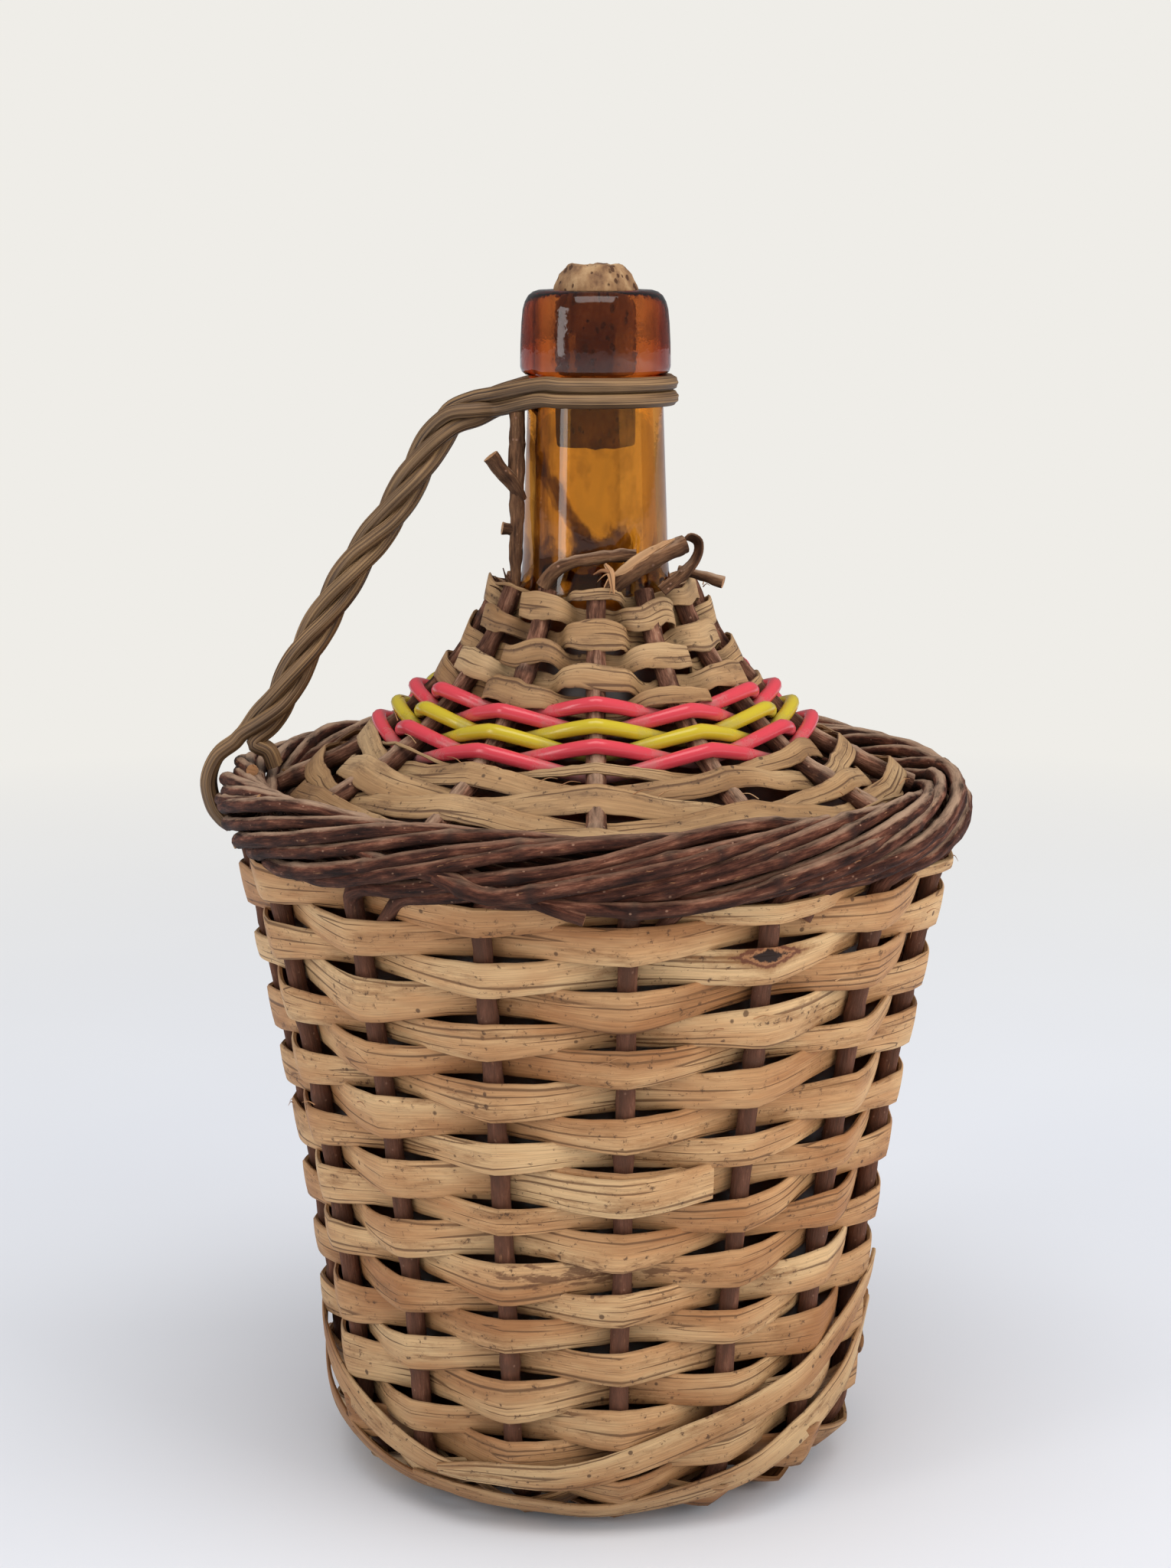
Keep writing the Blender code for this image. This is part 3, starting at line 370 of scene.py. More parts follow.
def rod(name, path, thicknesses, finish, end_finish=None, sides=12, lumps=0.25, lump_size=4.0, start=0.0,
        buds=(), **flutes):
    """A round rod along a path, with a swelling and a scar at each bud; start picks its stretch of the pattern."""
    lengths = lengths_of(path)
    swellings = [sum(math.exp(-((length - place) / BUD_REACH) ** 2) for place in buds) for length in lengths]
    thicknesses = [thickness + BUD_HEIGHT * swelling for thickness, swelling in zip(thicknesses, swellings)]
    rings = tube_rings(path, thicknesses, sides, lumps, lump_size, **flutes)
    arounds = [2 * math.pi * max(thicknesses) * place / sides for place in range(sides + 1)]
    return loft(name, rings, [start + length for length in lengths], arounds, finish, end_finish,
                bud=[swelling for swelling in swellings for side in range(sides)])


def tapered(lengths, first, last):
    """The radius at each length along a rod that tapers evenly."""
    return [first + (last - first) * length / lengths[-1] for length in lengths]


def bud_places(length, seed, spacing=BUD_SPACING):
    """Where the buds sit along a willow rod."""
    made = [10 + 30 * abs(noise.noise(Vector((seed * 3.7, 0.5, 0.5))))]
    while made[-1] < length:
        made.append(made[-1] + spacing * (1 + 0.7 * noise.noise(Vector((made[-1] * 0.13, seed, 1.5)))))
    return made


def wall_radius(height):
    """The radius of the stakes' line at a height on the wall."""
    share = max((height - WALL_LOW) / (WALL_TOP - WALL_LOW), 0)
    return FOOT_START + FOOT_BEND + (BORDER_RADIUS - FOOT_START - FOOT_BEND) * share ** WALL_FLARE


def stake_line(foot_steps, wall_steps):
    """Points of radius and height from the stake's end under the base to the bend below the border."""
    points = [Vector((STAKE_START + (FOOT_START - STAKE_START) * step / 4, BASE_HEIGHT)) for step in range(4)]
    for step in range(foot_steps + 1):
        angle = math.radians(-90 + 90 * step / foot_steps)
        points.append(Vector((FOOT_START + FOOT_BEND * math.cos(angle), WALL_LOW + FOOT_BEND * math.sin(angle))))
    for step in range(1, wall_steps + 1):
        height = WALL_LOW + (WALL_TOP - WALL_LOW) * step / wall_steps
        points.append(Vector((wall_radius(height), height)))
    return points


def border_spot(stakes_on, number):
    """The radius and height of a border rod, a number of stake spacings after its own stake."""
    share = max(stakes_on, 0) / BORDER_SPAN
    turn = 2 * math.pi * (share + 0.08 * math.sin(math.pi * share))
    phase = -math.pi / 2 + turn - 0.09 * math.sin(2 * turn + math.pi)
    wander = [noise.noise(Vector((stakes_on * 0.9, number * 3.3, seed))) for seed in (0.5, 9.5)]
    return (BORDER_MIDDLE.x + BORDER_ROLL.x * math.cos(phase) + BORDER_WANDER.x * wander[0],
            BORDER_MIDDLE.y + BORDER_ROLL.y * math.sin(phase) + BORDER_WANDER.y * wander[1])


def border_path(start, number, first):
    """The path of a rod round the border from a stake spacing onwards."""
    made = []
    stakes_on = first
    while stakes_on < BORDER_SPAN - 0.2:
        radius, height = border_spot(stakes_on, number)
        made.append(spot(radius, height, start + math.radians(360 / STAKE_COUNT) * stakes_on))
        stakes_on += BORDER_STEP
    return made


border_start = BORDER_BEND / (BORDER_RADIUS * math.radians(360 / STAKE_COUNT))
for number in range(STAKE_COUNT):
    angle = stake_angle(number, STAKE_COUNT, STAKE_TURN)
    points = []
    for point in stake_line(12, 16):
        lean = 0.006 * noise.noise(Vector((point.y / 40, number * 2.9, 0.5)))
        points.append(spot(point.x, point.y, angle + lean))
    path = smooth(points + border_path(angle, number, border_start), 3)
    lengths = lengths_of(path)
    wall_end = lengths[3 * len(points)]
    thicknesses = []
    for length in lengths:
        share = (length - wall_end) / (lengths[-1] - wall_end)
        thin_end = STAKE_THIN + (STAKE_THICK - STAKE_THIN) * length / STAKE_TAPER
        thicknesses.append(min(thin_end, STAKE_THICK) if share < 0 else ROD_THICK + (ROD_TIP - ROD_THICK) * share)
    stake = rod(f"willow_stake_{number + 1:02d}", path, thicknesses, WILLOW, CUT_WILLOW, start=number * 911.0,
                buds=bud_places(lengths[-1], number), **BARK_LUMPS)
    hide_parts(f"side_stake_{number + 1:02d}")

# Border rods: one more willow rod beside each stake, pushed in behind the top rows and rolled with the others,
# so that the border fills out; their cut ends show under it and on its inner side.
EXTRA_THICK, EXTRA_TIP = 2.15, 1.5
EXTRA_FOOT = ((-1.5, -9.0, -0.07), (-1.2, -5.0, -0.045), (-0.4, -1.6, -0.01))
for number in range(STAKE_COUNT):
    beside = 0.42 + 0.12 * noise.noise(Vector((number * 1.7, 3.5, 0.5)))
    angle = stake_angle(number + beside, STAKE_COUNT, STAKE_TURN)
    radius, height = border_spot(0.0, number + 40)
    points = [spot(radius + out, height + up, angle + aside) for out, up, aside in EXTRA_FOOT]
    path = smooth(points + border_path(angle, number + 40, 0.12), 3)
    lengths = lengths_of(path)
    extra_rod = rod(f"border_rod_{number + 1:02d}", path, tapered(lengths, EXTRA_THICK, EXTRA_TIP), WILLOW,
                    CUT_WILLOW, start=number * 613.0, buds=bud_places(lengths[-1], number + 60), **BARK_LUMPS)

# Laid rods: a few more willow rods cross over the rolled ones where the maker filled hollows, three to each third
# of the border, and one cut end of each three sticks out below. Each row is degrees, radius, height, thickness.
LAID_RODS = (
    ((-37.9, 108.5, 204.5, 1.4), (-30.0, 110.3, 202.0, 1.8), (-20.7, 111.3, 200.0, 2.1), (-14.5, 111.4, 196.4, 2.2),
     (2.0, 110.6, 193.0, 2.2), (11.0, 110.6, 192.8, 2.2), (20.0, 111.4, 195.2, 2.1), (29.5, 112.0, 199.6, 2.0),
     (42.0, 110.8, 203.8, 1.8), (56.0, 107.0, 208.6, 1.5)),
    ((-26.0, 108.2, 202.0, 1.7), (-20.5, 112.2, 199.0, 2.2), (-13.5, 112.8, 196.2, 2.3), (-1.8, 112.6, 200.2, 2.2),
     (9.0, 111.6, 203.6, 2.1), (17.0, 109.8, 206.8, 2.0), (28.0, 106.4, 210.2, 1.8), (38.0, 102.4, 211.0, 1.5)),
    ((-21.0, 108.0, 203.0, 1.8), (-14.0, 110.0, 198.6, 1.9), (-7.2, 110.8, 194.0, 2.0), (-1.6, 111.2, 190.6, 1.9)))
for turn, side in enumerate((-90, 31, 152)):
    for number, table in enumerate(LAID_RODS):
        path = smooth([spot(radius, height + 0.8 * turn, math.radians(side + degrees))
                       for degrees, radius, height, thick in table], 7)
        laid = rod(f"laid_rod_{turn + 1}_{number + 1}", path, smooth([row[3] for row in table], 7), WILLOW,
                   CUT_WILLOW, lumps=0.3, lump_size=6.0, start=20000.0 + 700 * turn + 200 * number,
                   buds=bud_places(200, number + 5 * turn, 38.0))

# Base weaving: two narrow split strips that chase each other between the stakes, under the bottle.
# The same chestnut as the side, split thinner, so it takes the tight curve.
BASE_ROWS, BASE_GAP, BASE_MARGIN, BASE_THICK, BASE_STAKE_THICK, FIRST_STAKE = 4, 0.4, 3.1, 1.2, 2.4, 4
CLEARANCE, TAIL_END = 0.45, 0.8
BASE_WIDTH = (FOOT_START - STAKE_START - BASE_MARGIN - (BASE_ROWS - 1) * BASE_GAP) / BASE_ROWS


class Rise:
    """The line that rows of weaving climb, in the plane of radius and height, read by the length run along it."""

    def __init__(self, points):
        self.points = points
        self.runs = lengths_of(points)
        self.leads_up = points[-1].y > points[0].y

    def at(self, run):
        """The point at a run."""
        run = min(max(run, 0.0), self.runs[-1])
        index = next(place for place, end in enumerate(self.runs[1:]) if run <= end)
        span = self.runs[index + 1] - self.runs[index]
        return self.points[index].lerp(self.points[index + 1], (run - self.runs[index]) / span)

    def along(self, run):
        """The direction of the line at a run."""
        return (self.at(run + 2) - self.at(run - 2)).normalized()

    def outward(self, run):
        """The direction out of the basket at a run."""
        along = self.along(run)
        return Vector((along.y, -along.x)) if self.leads_up else Vector((-along.y, along.x))

    def bend(self, run):
        """The curvature at a run."""
        run = min(max(run, 7), self.runs[-1] - 7)
        return self.along(run - 3.5).angle(self.along(run + 3.5)) / 7


def reach_over(clear, radius, count):
    """How far out a weaver swings over a stake, so that it is clear of the round stakes all the way across."""
    spacing = 2 * math.pi * radius / count
    return clear / math.sqrt(max(1 - (2 * clear / spacing) ** 2, 0.25))


def strip(name, middles, ups, halves, thickness, crown, alongs, width, finish):
    """A split strip through places, each with a direction across it and its two half widths."""
    rings = []
    for index, (middle, up) in enumerate(zip(middles, ups)):
        ahead = (middles[min(index + 1, len(middles) - 1)] - middles[max(index - 1, 0)]).normalized()
        across = (up - ahead * up.dot(ahead)).normalized()
        rings.append(strip_ring(middle, across, ahead.cross(across), halves[index], thickness, crown))
    return loft(name, rings, alongs, across_lengths(width), finish, edge=STRIP_EDGES * len(rings))


def woven_strip(name, line, runs, pitch, first_stake, number, count, turn, width, thickness, stake_radius, finish,
                dip=0.0, fold=0.0, straight=0.0, stand=0.0, ragged=0.12, crown=0.3, stations=12, swell=0.5,
                uneven=0.0, shared=0.0, warp=0.0, slant=0.0, tails=(False, False), span=None, lift=(0.0, 0.0),
                fill=0.0, start=0.0):
    """One of two strips that chase each other: over one stake, under the next, climbing two rows a turn.

    A tail runs on half a turn beyond an end and narrows to nothing, so that the rows finish level.
    """
    climb = 2 * pitch / count
    total = int(round((runs[1] - runs[0]) / climb, 6))
    first, last = span or (-count // 2 * tails[0], total + count // 2 * tails[1])
    last_run = runs[0] + climb * total
    steps = round((last - first) * stations)
    middles, ups, shares = [], [], []
    for step in range(steps + 1):
        stakes_on = first + step / stations
        stake = first_stake + number * count // 2 + stakes_on
        run, room = runs[0] + climb * stakes_on, width
        beyond = max(-stakes_on, stakes_on - total)
        if beyond > 0:
            room = max(width - 2 * pitch * beyond / count, TAIL_END)
            run = runs[0] - (width - room) / 2 if stakes_on < 0 else last_run + (width - room) / 2
        shares.append(room / width * (1 + fill * line.bend(run)))
        # over and under: a soft wave, or a fold at each stake, or a straight run from stake to stake
        phase = stake + number
        wave = math.cos(math.pi * phase)
        kink = 2 * abs(phase % 2 - 1) - 1
        bulge = math.tanh(fold * wave) / math.tanh(fold) if fold else wave
        bulge = (1 - straight) * bulge + straight * kink
        reach = reach_over(stake_radius + CLEARANCE + thickness / 2 - shared, line.at(run).x, count)
        reach += line.bend(run) * (width / 2) ** 2 / 2
        # up and down: it dips over the stakes, leans a little, and its width wanders with its neighbours' edges
        crest = round(phase)
        mix = 0.5 + 0.5 * noise.noise(Vector((crest * 3.1, number * 7.7, 0.5)))
        deeper = 1 + 0.8 * noise.noise(Vector((stake * 0.31, number * 5, 8.5)))
        sag = dip * ((1 - mix) * wave + mix * kink) * deeper
        sag += slant * noise.noise(Vector((crest * 1.7, number * 3.1, 6.5))) * math.sin(2 * math.pi * phase)
        angle = stake_angle(stake, count, turn)
        if uneven:
            around = Vector((math.cos(angle), math.sin(angle), 0)) * 1.7
            edges = [uneven * noise.noise(around + Vector((0, 0, (run + side) / 15))) for side in (-1, 1)]
            ease = max(min(1, (run - runs[0]) / 12, (last_run - run) / 12), 0) if first <= stakes_on <= total else 0
            sag -= ease * (edges[0] + edges[1]) / 2
            shares[-1] *= 1 + ease * (edges[1] - edges[0]) / 2
        run -= sag if line.leads_up else -sag
        lifted = lift[0] + (lift[1] - lift[0]) * step / steps
        lifted += warp * noise.noise(Vector((stakes_on * 1.9, number * 9.1, width)))
        point = line.at(run) + line.outward(run) * (reach * bulge + lifted)
        middles.append(spot(point.x, point.y, angle))
        along = line.along(run) if line.leads_up else -line.along(run)
        along = along * math.cos(stand) + line.outward(run) * math.sin(stand)
        ups.append(spot(along.x, along.y, angle))
    alongs = [start + number * 7000.0 + length for length in lengths_of(middles)]
    halves = []
    for index, (place, share) in enumerate(zip(alongs, shares)):
        half = width / 2 + swell / 2 * math.cos(math.pi * (first + index / stations)) ** 2
        halves.append([max((half + 0.05 * width * noise.noise(Vector((place / 38, edge, 0.5)))) * share
                           + ragged * noise.noise(Vector((place / 2.6, edge, 4.5))), 0.3) for edge in (0.5, 30.5)])
    return strip(name, middles, ups, halves, thickness, crown, alongs, width, finish)


STAKE_RISE = Rise(stake_line(24, 30))
BASE_RUNS = (BASE_MARGIN + BASE_WIDTH / 2, FOOT_START - STAKE_START - BASE_WIDTH / 2)
BASE_PITCH = BASE_WIDTH + BASE_GAP
for number, letter in enumerate("ab"):
    weaver = woven_strip(f"base_strip_{letter}", STAKE_RISE, BASE_RUNS, BASE_PITCH, FIRST_STAKE, number,
                         STAKE_COUNT, STAKE_TURN, BASE_WIDTH, BASE_THICK, BASE_STAKE_THICK, CHESTNUT,
                         crown=0.1, swell=0.0, tails=(True, False))
    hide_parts(f"base_weaver_{letter}")

# Side weaving: two broad split strips that chase each other from the foot to under the border, nineteen rows.
# Chestnut cleft along the grain and shaved to 1.4 mm, 8 to 11 mm broad, so each row is a little different;
# every strip dips where it crosses over a stake and rises where it passes behind.
SIDE_WIDTH, SIDE_BROAD, SIDE_THICK, SIDE_GAP = 8.5, 10.0, 1.4, 0.8
BASE_STEPS = int(round((BASE_RUNS[1] - BASE_RUNS[0]) / (2 * BASE_PITCH) * STAKE_COUNT, 6))
SIDE_FIRST = FIRST_STAKE + BASE_STEPS + 1
SIDE_START = BASE_RUNS[0] + 2 * BASE_PITCH * BASE_STEPS / STAKE_COUNT + (SIDE_WIDTH - BASE_WIDTH) / 2 + 1.2
SIDE_RUNS = (SIDE_START, STAKE_RISE.runs[-1] - (SIDE_WIDTH - BORDER_BEND) / 2)
for number, letter in enumerate("ab"):
    weaver = woven_strip(f"side_strip_{letter}", STAKE_RISE, SIDE_RUNS, SIDE_WIDTH + SIDE_GAP, SIDE_FIRST, number,
                         STAKE_COUNT, STAKE_TURN, SIDE_BROAD, SIDE_THICK, STAKE_THICK, CHESTNUT, dip=0.35,
                         swell=1.6, uneven=2.6, straight=0.68, warp=0.7, ragged=0.18, fill=4.5, tails=(False, True))
    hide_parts(f"side_weaver_{letter}")

# Foot strips: where the base turns up into the side, longer strips lie over several stakes at a time and climb
# from the bottom to the fourth row, the ends cut to a taper and left lying on the rows below.
# Each row is degrees, run up the stakes, distance out, width.
FOOT_STRIP_THICK = 1.1
FOOT_STRIPS = (
    ((-123, 52, 6.4, 3.4), (-114, 53, 5.8, 7.4), (-93, 54.4, 5.2, 9.0), (-67, 65, 4.9, 9.4), (-53, 70.3, 4.9, 9.6),
     (-42, 75.2, 4.9, 9.6), (-28, 85.4, 4.9, 9.0), (-16, 92, 4.8, 7.0), (-8, 95, 4.8, 3.0)),
    ((-131, 47.5, 6.2, 3.6), (-118, 44.9, 5.6, 8.4), (-103, 42.6, 4.9, 9.4), (-86, 42, 5.2, 9.6),
     (-61, 49.3, 5.3, 9.6), (-45, 56.2, 4.9, 9.6), (-30, 63.7, 4.9, 9.2), (-20, 72, 4.8, 8.0), (-8, 80, 4.8, 3.5)),
    ((-184, 63, 4.7, 4.0), (-176, 59, 4.9, 8.8), (-164, 53.4, 4.9, 9.6), (-150, 48, 4.9, 9.6), (-136, 44, 5.2, 9.2),
     (-122, 42, 4.8, 6.0)),
    ((-183, 78, 4.7, 4.0), (-170, 71, 4.9, 9.0), (-155, 63, 4.9, 9.6), (-140, 57, 4.9, 9.2), (-126, 52.5, 5.2, 8.0),
     (-114, 51, 4.8, 4.0)))


def ribbon(name, table, thickness, finish, start, crown=0.1):
    """A thin strip through a table of places, each with a direction across it and its width."""
    places, sides = [smooth([Vector(row[first:first + 3]) for row in table], 5) for first in (0, 3)]
    widths = [max(width, 0.15) for width in smooth([row[6] for row in table], 5)]
    lengths = lengths_of(places)
    halves = [[max(width / 2 + 0.25 * noise.noise(Vector((length / 2.6, seed, start))), 0.1) for seed in (0.5, 7.5)]
              for width, length in zip(widths, lengths)]
    return strip(name, places, sides, halves, thickness, crown, [start + length for length in lengths], max(widths),
                 finish)


for turn in (0, 180):
    for number, table in enumerate(FOOT_STRIPS):
        rows = []
        for degrees, run, out, width in table:
            place = STAKE_RISE.at(run) + STAKE_RISE.outward(run) * out
            along = STAKE_RISE.along(run)
            angle = math.radians(degrees + turn)
            rows.append((*spot(place.x, place.y, angle), *spot(along.x, along.y, angle), width))
        foot_strip = ribbon(f"foot_strip_{turn // 180 + 1}_{number + 1}", rows, FOOT_STRIP_THICK, CHESTNUT,
                            17000.0 + 900 * number + 3600 * turn, 0.25)

# The splice: where the outer chestnut strip ran out, a new one was laid over it, held by the weave alone,
# and its broad cut end was left showing in the middle of the wall.
SPLICE_ROUND, SPLICE_WIDTH, SPLICE_STEP = 8, 11.5, 2 * (SIDE_WIDTH + SIDE_GAP) / STAKE_COUNT
splice_run = SIDE_RUNS[0] + 2 * (SIDE_WIDTH + SIDE_GAP) * (SPLICE_ROUND - SIDE_FIRST / STAKE_COUNT)
splice = woven_strip("side_splice", STAKE_RISE, (splice_run - SPLICE_STEP, splice_run + SPLICE_STEP),
                     SIDE_WIDTH + SIDE_GAP, -1, 0, STAKE_COUNT, STAKE_TURN, SPLICE_WIDTH, SIDE_THICK, STAKE_THICK,
                     CHESTNUT, dip=0.3, straight=0.5, lift=(0.4, 3.8), span=(0.05, 1.72), start=15000.0)

# The bottle: blown amber glass with a hollow bottom, lowered into the basket before the shoulder is woven.
# Amber is coloured in the melt, so thin walls look golden and the thick collar looks red-brown; the surface
# is glossy, lees have dried on the inside of the neck in brown smears, and dark bands at the neck's edges are
# painted shade and reflection.
GLASS_SIDES = 96
GLASS_OUTSIDE = (
    (0, 15.5), (26.5, 14.5), (48.2, 11.5), (58.8, 11.5), (64.8, 13.1), (69.2, 17.5), (70.8, 23.5), (73.5, 44.9),
    (77, 74.4), (82, 107.2), (87.8, 140), (93.1, 166.2), (98, 184.4), (84.1, 203.1), (74.1, 207.9), (63.1, 213.6),
    (49.9, 223.4), (38.3, 235.8), (28, 250), (22.9, 264.5), (21.6, 272.5), (21.2, 283), (20.5, 302), (19.8, 321),
    (19.65, 326), (19.6, 327.0))
GLASS_COLLAR = ((20.6, 327.2), (21.6, 328.0), (22.0, 329.4), (21.9, 336), (21.6, 342), (21.2, 345.8), (20.6, 348.0),
                (19.6, 349.8), (18.2, 350.9), (16.6, 351.4), (14.2, 351.5), (13.0, 351.0))
GLASS_INSIDE = (
    (12.7, 349.8), (12.7, 328), (12.9, 327.2), (16.2, 324.6), (16.6, 323.6), (16.7, 321.5), (17.4, 304),
    (18.2, 283), (18.6, 272.3), (20, 263.7), (25.3, 248.6), (36, 233.8), (47.9, 221.2), (61.4, 211),
    (72.7, 205.2), (82, 200.9), (95.1, 183.7), (90.1, 166.9), (84.9, 140.6), (79, 107.7), (74, 74.8),
    (70.5, 45.2), (67.8, 26.5), (65.2, 20.1), (58.8, 17.5), (30, 19.2), (0, 21.5))


def amber_glass():
    """Amber bottle glass, with dried lees in the neck and painted shade in bands at its edges."""
    made, add = new_material("amber_glass", {"IOR": 1.52, "Transmission Weight": 1.0})
    amber = add("VolumeAbsorption", {"Color": linear("#F0CE90"), "Density": 260.0})
    made.node_tree.links.new(amber, made.node_tree.nodes["Material Output"].inputs["Volume"])
    place = add("NewGeometry")
    x, y, z = [add("SeparateXYZ", [place], axis) for axis in "XYZ"]
    cloud_place = add("Mapping", {0: place, 1: (0.4, 0.2, 0.7), 3: (150, 150, 90)})
    cloud = add("TexNoise", {"Vector": cloud_place, "Scale": 1.0, "Detail": 4.0})
    # lees: a run dried aslant down the front of the neck, on its left side
    slant = add("Math", [x, 20.0, -1.2], operation="MULTIPLY_ADD")
    run_height = add("Math", [x, slant, 0.2775], operation="MULTIPLY_ADD")
    off_run = add("Math", [add("Math", [z, run_height], operation="SUBTRACT")], operation="ABSOLUTE")
    raggedness = add("Math", [cloud, -0.016, 0.008], operation="MULTIPLY_ADD")
    run = add("MapRange", [add("Math", [off_run, raggedness], operation="ADD"), 0.003, 0.0048, 0.85, 0.0])
    for side in (add("MapRange", [x, -0.001, 0.006, 1.0, 0.0]), add("MapRange", [y, -0.006, 0.0, 1.0, 0.0])):
        run = add("Math", [run, side], operation="MULTIPLY")
    # and dark bands upright near the edges of the neck, painted shade and reflection of the twig and canes beside
    # it; a ragged ring of lees at the foot of the neck, and a thin haze
    lees_and_band_masks = [run]
    for place_x, half_width, depth in ((-0.0172, 0.0013, 0.8), (-0.0124, 0.0007, 0.35), (0.0196, 0.0010, 0.4)):
        off = add("Math", [add("Math", [x, place_x], operation="SUBTRACT")], operation="ABSOLUTE")
        off_edge = add("Math", [cloud, -0.004, off], operation="MULTIPLY_ADD")
        lees_and_band_masks.append(add("MapRange", [off_edge, half_width - 0.0026, half_width - 0.0014, depth, 0.0]))
    ring_height = add("Math", [cloud, 0.04, 0.2555], operation="MULTIPLY_ADD")
    over_ring = add("Math", [z, ring_height], operation="SUBTRACT")
    lees_and_band_masks += [add("MapRange", [over_ring, -0.001, 0.002, 0.8, 0.0]), add("MapRange", [cloud, 0.56, 0.66, 0.0, 0.3])]
    deepest = lees_and_band_masks[0]
    for other in lees_and_band_masks[1:]:
        deepest = add("Math", [deepest, other], operation="MAXIMUM")
    lees_and_painted_bands = add("Math", [deepest, add("MapRange", [z, 0.262, 0.270])], operation="MULTIPLY")
    # the neck is golden, the thick collar paler, since its depth colours it; the lees and the painted bands are
    # brown
    thick = add("MapRange", [z, 0.3255, 0.3285])
    clear = lay(add, linear("#FFDB80"), thick, "#F3EADC")
    tinted = lay(add, clear, lees_and_painted_bands, "#5E3618")
    # dust: it has sifted through the weave and dulls the glass below the neck
    open_neck = add("MapRange", [z, 0.254, 0.268])
    dusty = add("Mix", {0: open_neck, 6: linear("#A5743C"), 7: tinted}, 2, data_type="RGBA")
    dull = add("MapRange", [open_neck, 0.0, 1.0, 0.45, 0.03])
    # chill marks: the tooled collar is faintly pitted, which breaks up its reflections
    pits = add("TexNoise", {"Vector": place, "Scale": 420.0, "Detail": 3.0})
    pitted = add("Math", [pits, add("MapRange", [z, 0.326, 0.330, 0.1, 1.0])], operation="MULTIPLY")
    return wire(made, {"Base Color": dusty, "Roughness": dull}, pitted, 0.35, 0.0003)


def turned(name, outline, sides, finish, body=BASKET, wobble=0.0):
    """A turned solid from an outline that starts and ends on the axis."""
    mesh = bpy.data.meshes.new(name)
    shape = bmesh.new()
    rows = []
    for radius, height in outline:
        if radius == 0:
            rows.append([shape.verts.new((0, 0, height * 0.001))])
            continue
        row = []
        for side in range(sides):
            angle = 2 * math.pi * side / sides
            point = spot(radius, height, angle)
            shift = wobble * noise.noise(point / 4.0) + wobble * 0.5 * noise.noise(point / 1.3)
            row.append(shape.verts.new(spot(radius + shift, height + shift, angle) * 0.001))
        rows.append(row)
    for first, second in zip(rows, rows[1:]):
        for side in range(sides):
            after = (side + 1) % sides
            corners = [first[side % len(first)], first[after % len(first)], second[after % len(second)],
                       second[side % len(second)]]
            shape.faces.new(list(dict.fromkeys(corners)))
    bmesh.ops.recalc_face_normals(shape, faces=shape.faces)
    for face in shape.faces:
        face.smooth = True
    shape.to_mesh(mesh)
    shape.free()
    mesh.materials.append(finish)
    item = add_object(name, mesh)
    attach(item, body)
    return item


GLASS = amber_glass()
outside, inside = [[tuple(point) for point in smooth([Vector(point) for point in outline], 3)]
                   for outline in (GLASS_OUTSIDE[:-1], GLASS_INSIDE[5:])]
outside[0], inside[-1] = GLASS_OUTSIDE[0], GLASS_INSIDE[-1]
bottle = turned("amber_bottle", [*outside, GLASS_OUTSIDE[-1], *GLASS_COLLAR, *GLASS_INSIDE[:5], *inside],
                GLASS_SIDES, GLASS)
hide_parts("glass_bottle")

# The cork: a straight natural cork, pushed well down into the neck and crumbled at its upper edge.
# Bark of the cork oak: light brown, dull, with dark pits a millimetre or two long.
CORK_RADIUS, CORK_TOP, CORK_LENGTH = 12.0, 359.0, 53.0


def cork_bark():
    """Old natural cork, its lower end stained dark by wine."""
    made, add = new_material("natural_cork", {"Roughness": 0.85, "IOR": 1.5})
    place = add("NewGeometry")
    drawn = add("Mapping", {0: place, 3: (1, 1, 0.6)})
    tone = add("TexNoise", {"Vector": drawn, "Scale": 190.0, "Detail": 7.0, "Roughness": 0.6})
    bark = add("ValToRGB", [tone], stops=[(0.34, "#6B4A33"), (0.66, "#B8966E"), (0.5, "#987450")])
    # pits: lenticels up to a millimetre across
    holes = add("TexVoronoi", {"Vector": drawn, "Scale": 480.0})
    pit_size = add("Math", [tone, -0.9, 0.70], operation="MULTIPLY_ADD")
    pit = add("MapRange", [add("Math", [holes, pit_size], operation="SUBTRACT"), -0.06, 0.03, 1.0, 0.0])
    bark = lay(add, bark, pit, "#54351F")
    bark = lay(add, bark, add("SeparateXYZ", [place], "Z"), "#3A1F12", (0.338, 0.352, 0.72, 0.0))
    return wire(made, {"Base Color": bark}, add("Math", [tone, pit], operation="SUBTRACT"), 0.9, 0.0006)


cork_outline = [(0, CORK_TOP - 0.7)] + [(share * CORK_RADIUS, CORK_TOP - drop) for share, drop in (
    (0.2, 0.6), (0.4, 0.4), (0.55, 0.2), (0.66, 0.4), (0.74, 1.0), (0.80, 2.1), (0.87, 3.3), (0.94, 4.8),
    (1.0, 6.4), (1.03, 7.6), (1.0, 10.0), (0.99, 16), (0.985, 28), (0.975, 40), (0.96, 50), (0.93, 52.4),
    (0.7, CORK_LENGTH), (0.3, CORK_LENGTH))]
cork_outline.append((0, CORK_TOP - CORK_LENGTH))
cork = turned("natural_cork", cork_outline, 72, cork_bark(), "cork", wobble=0.6)
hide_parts("cork_stopper")

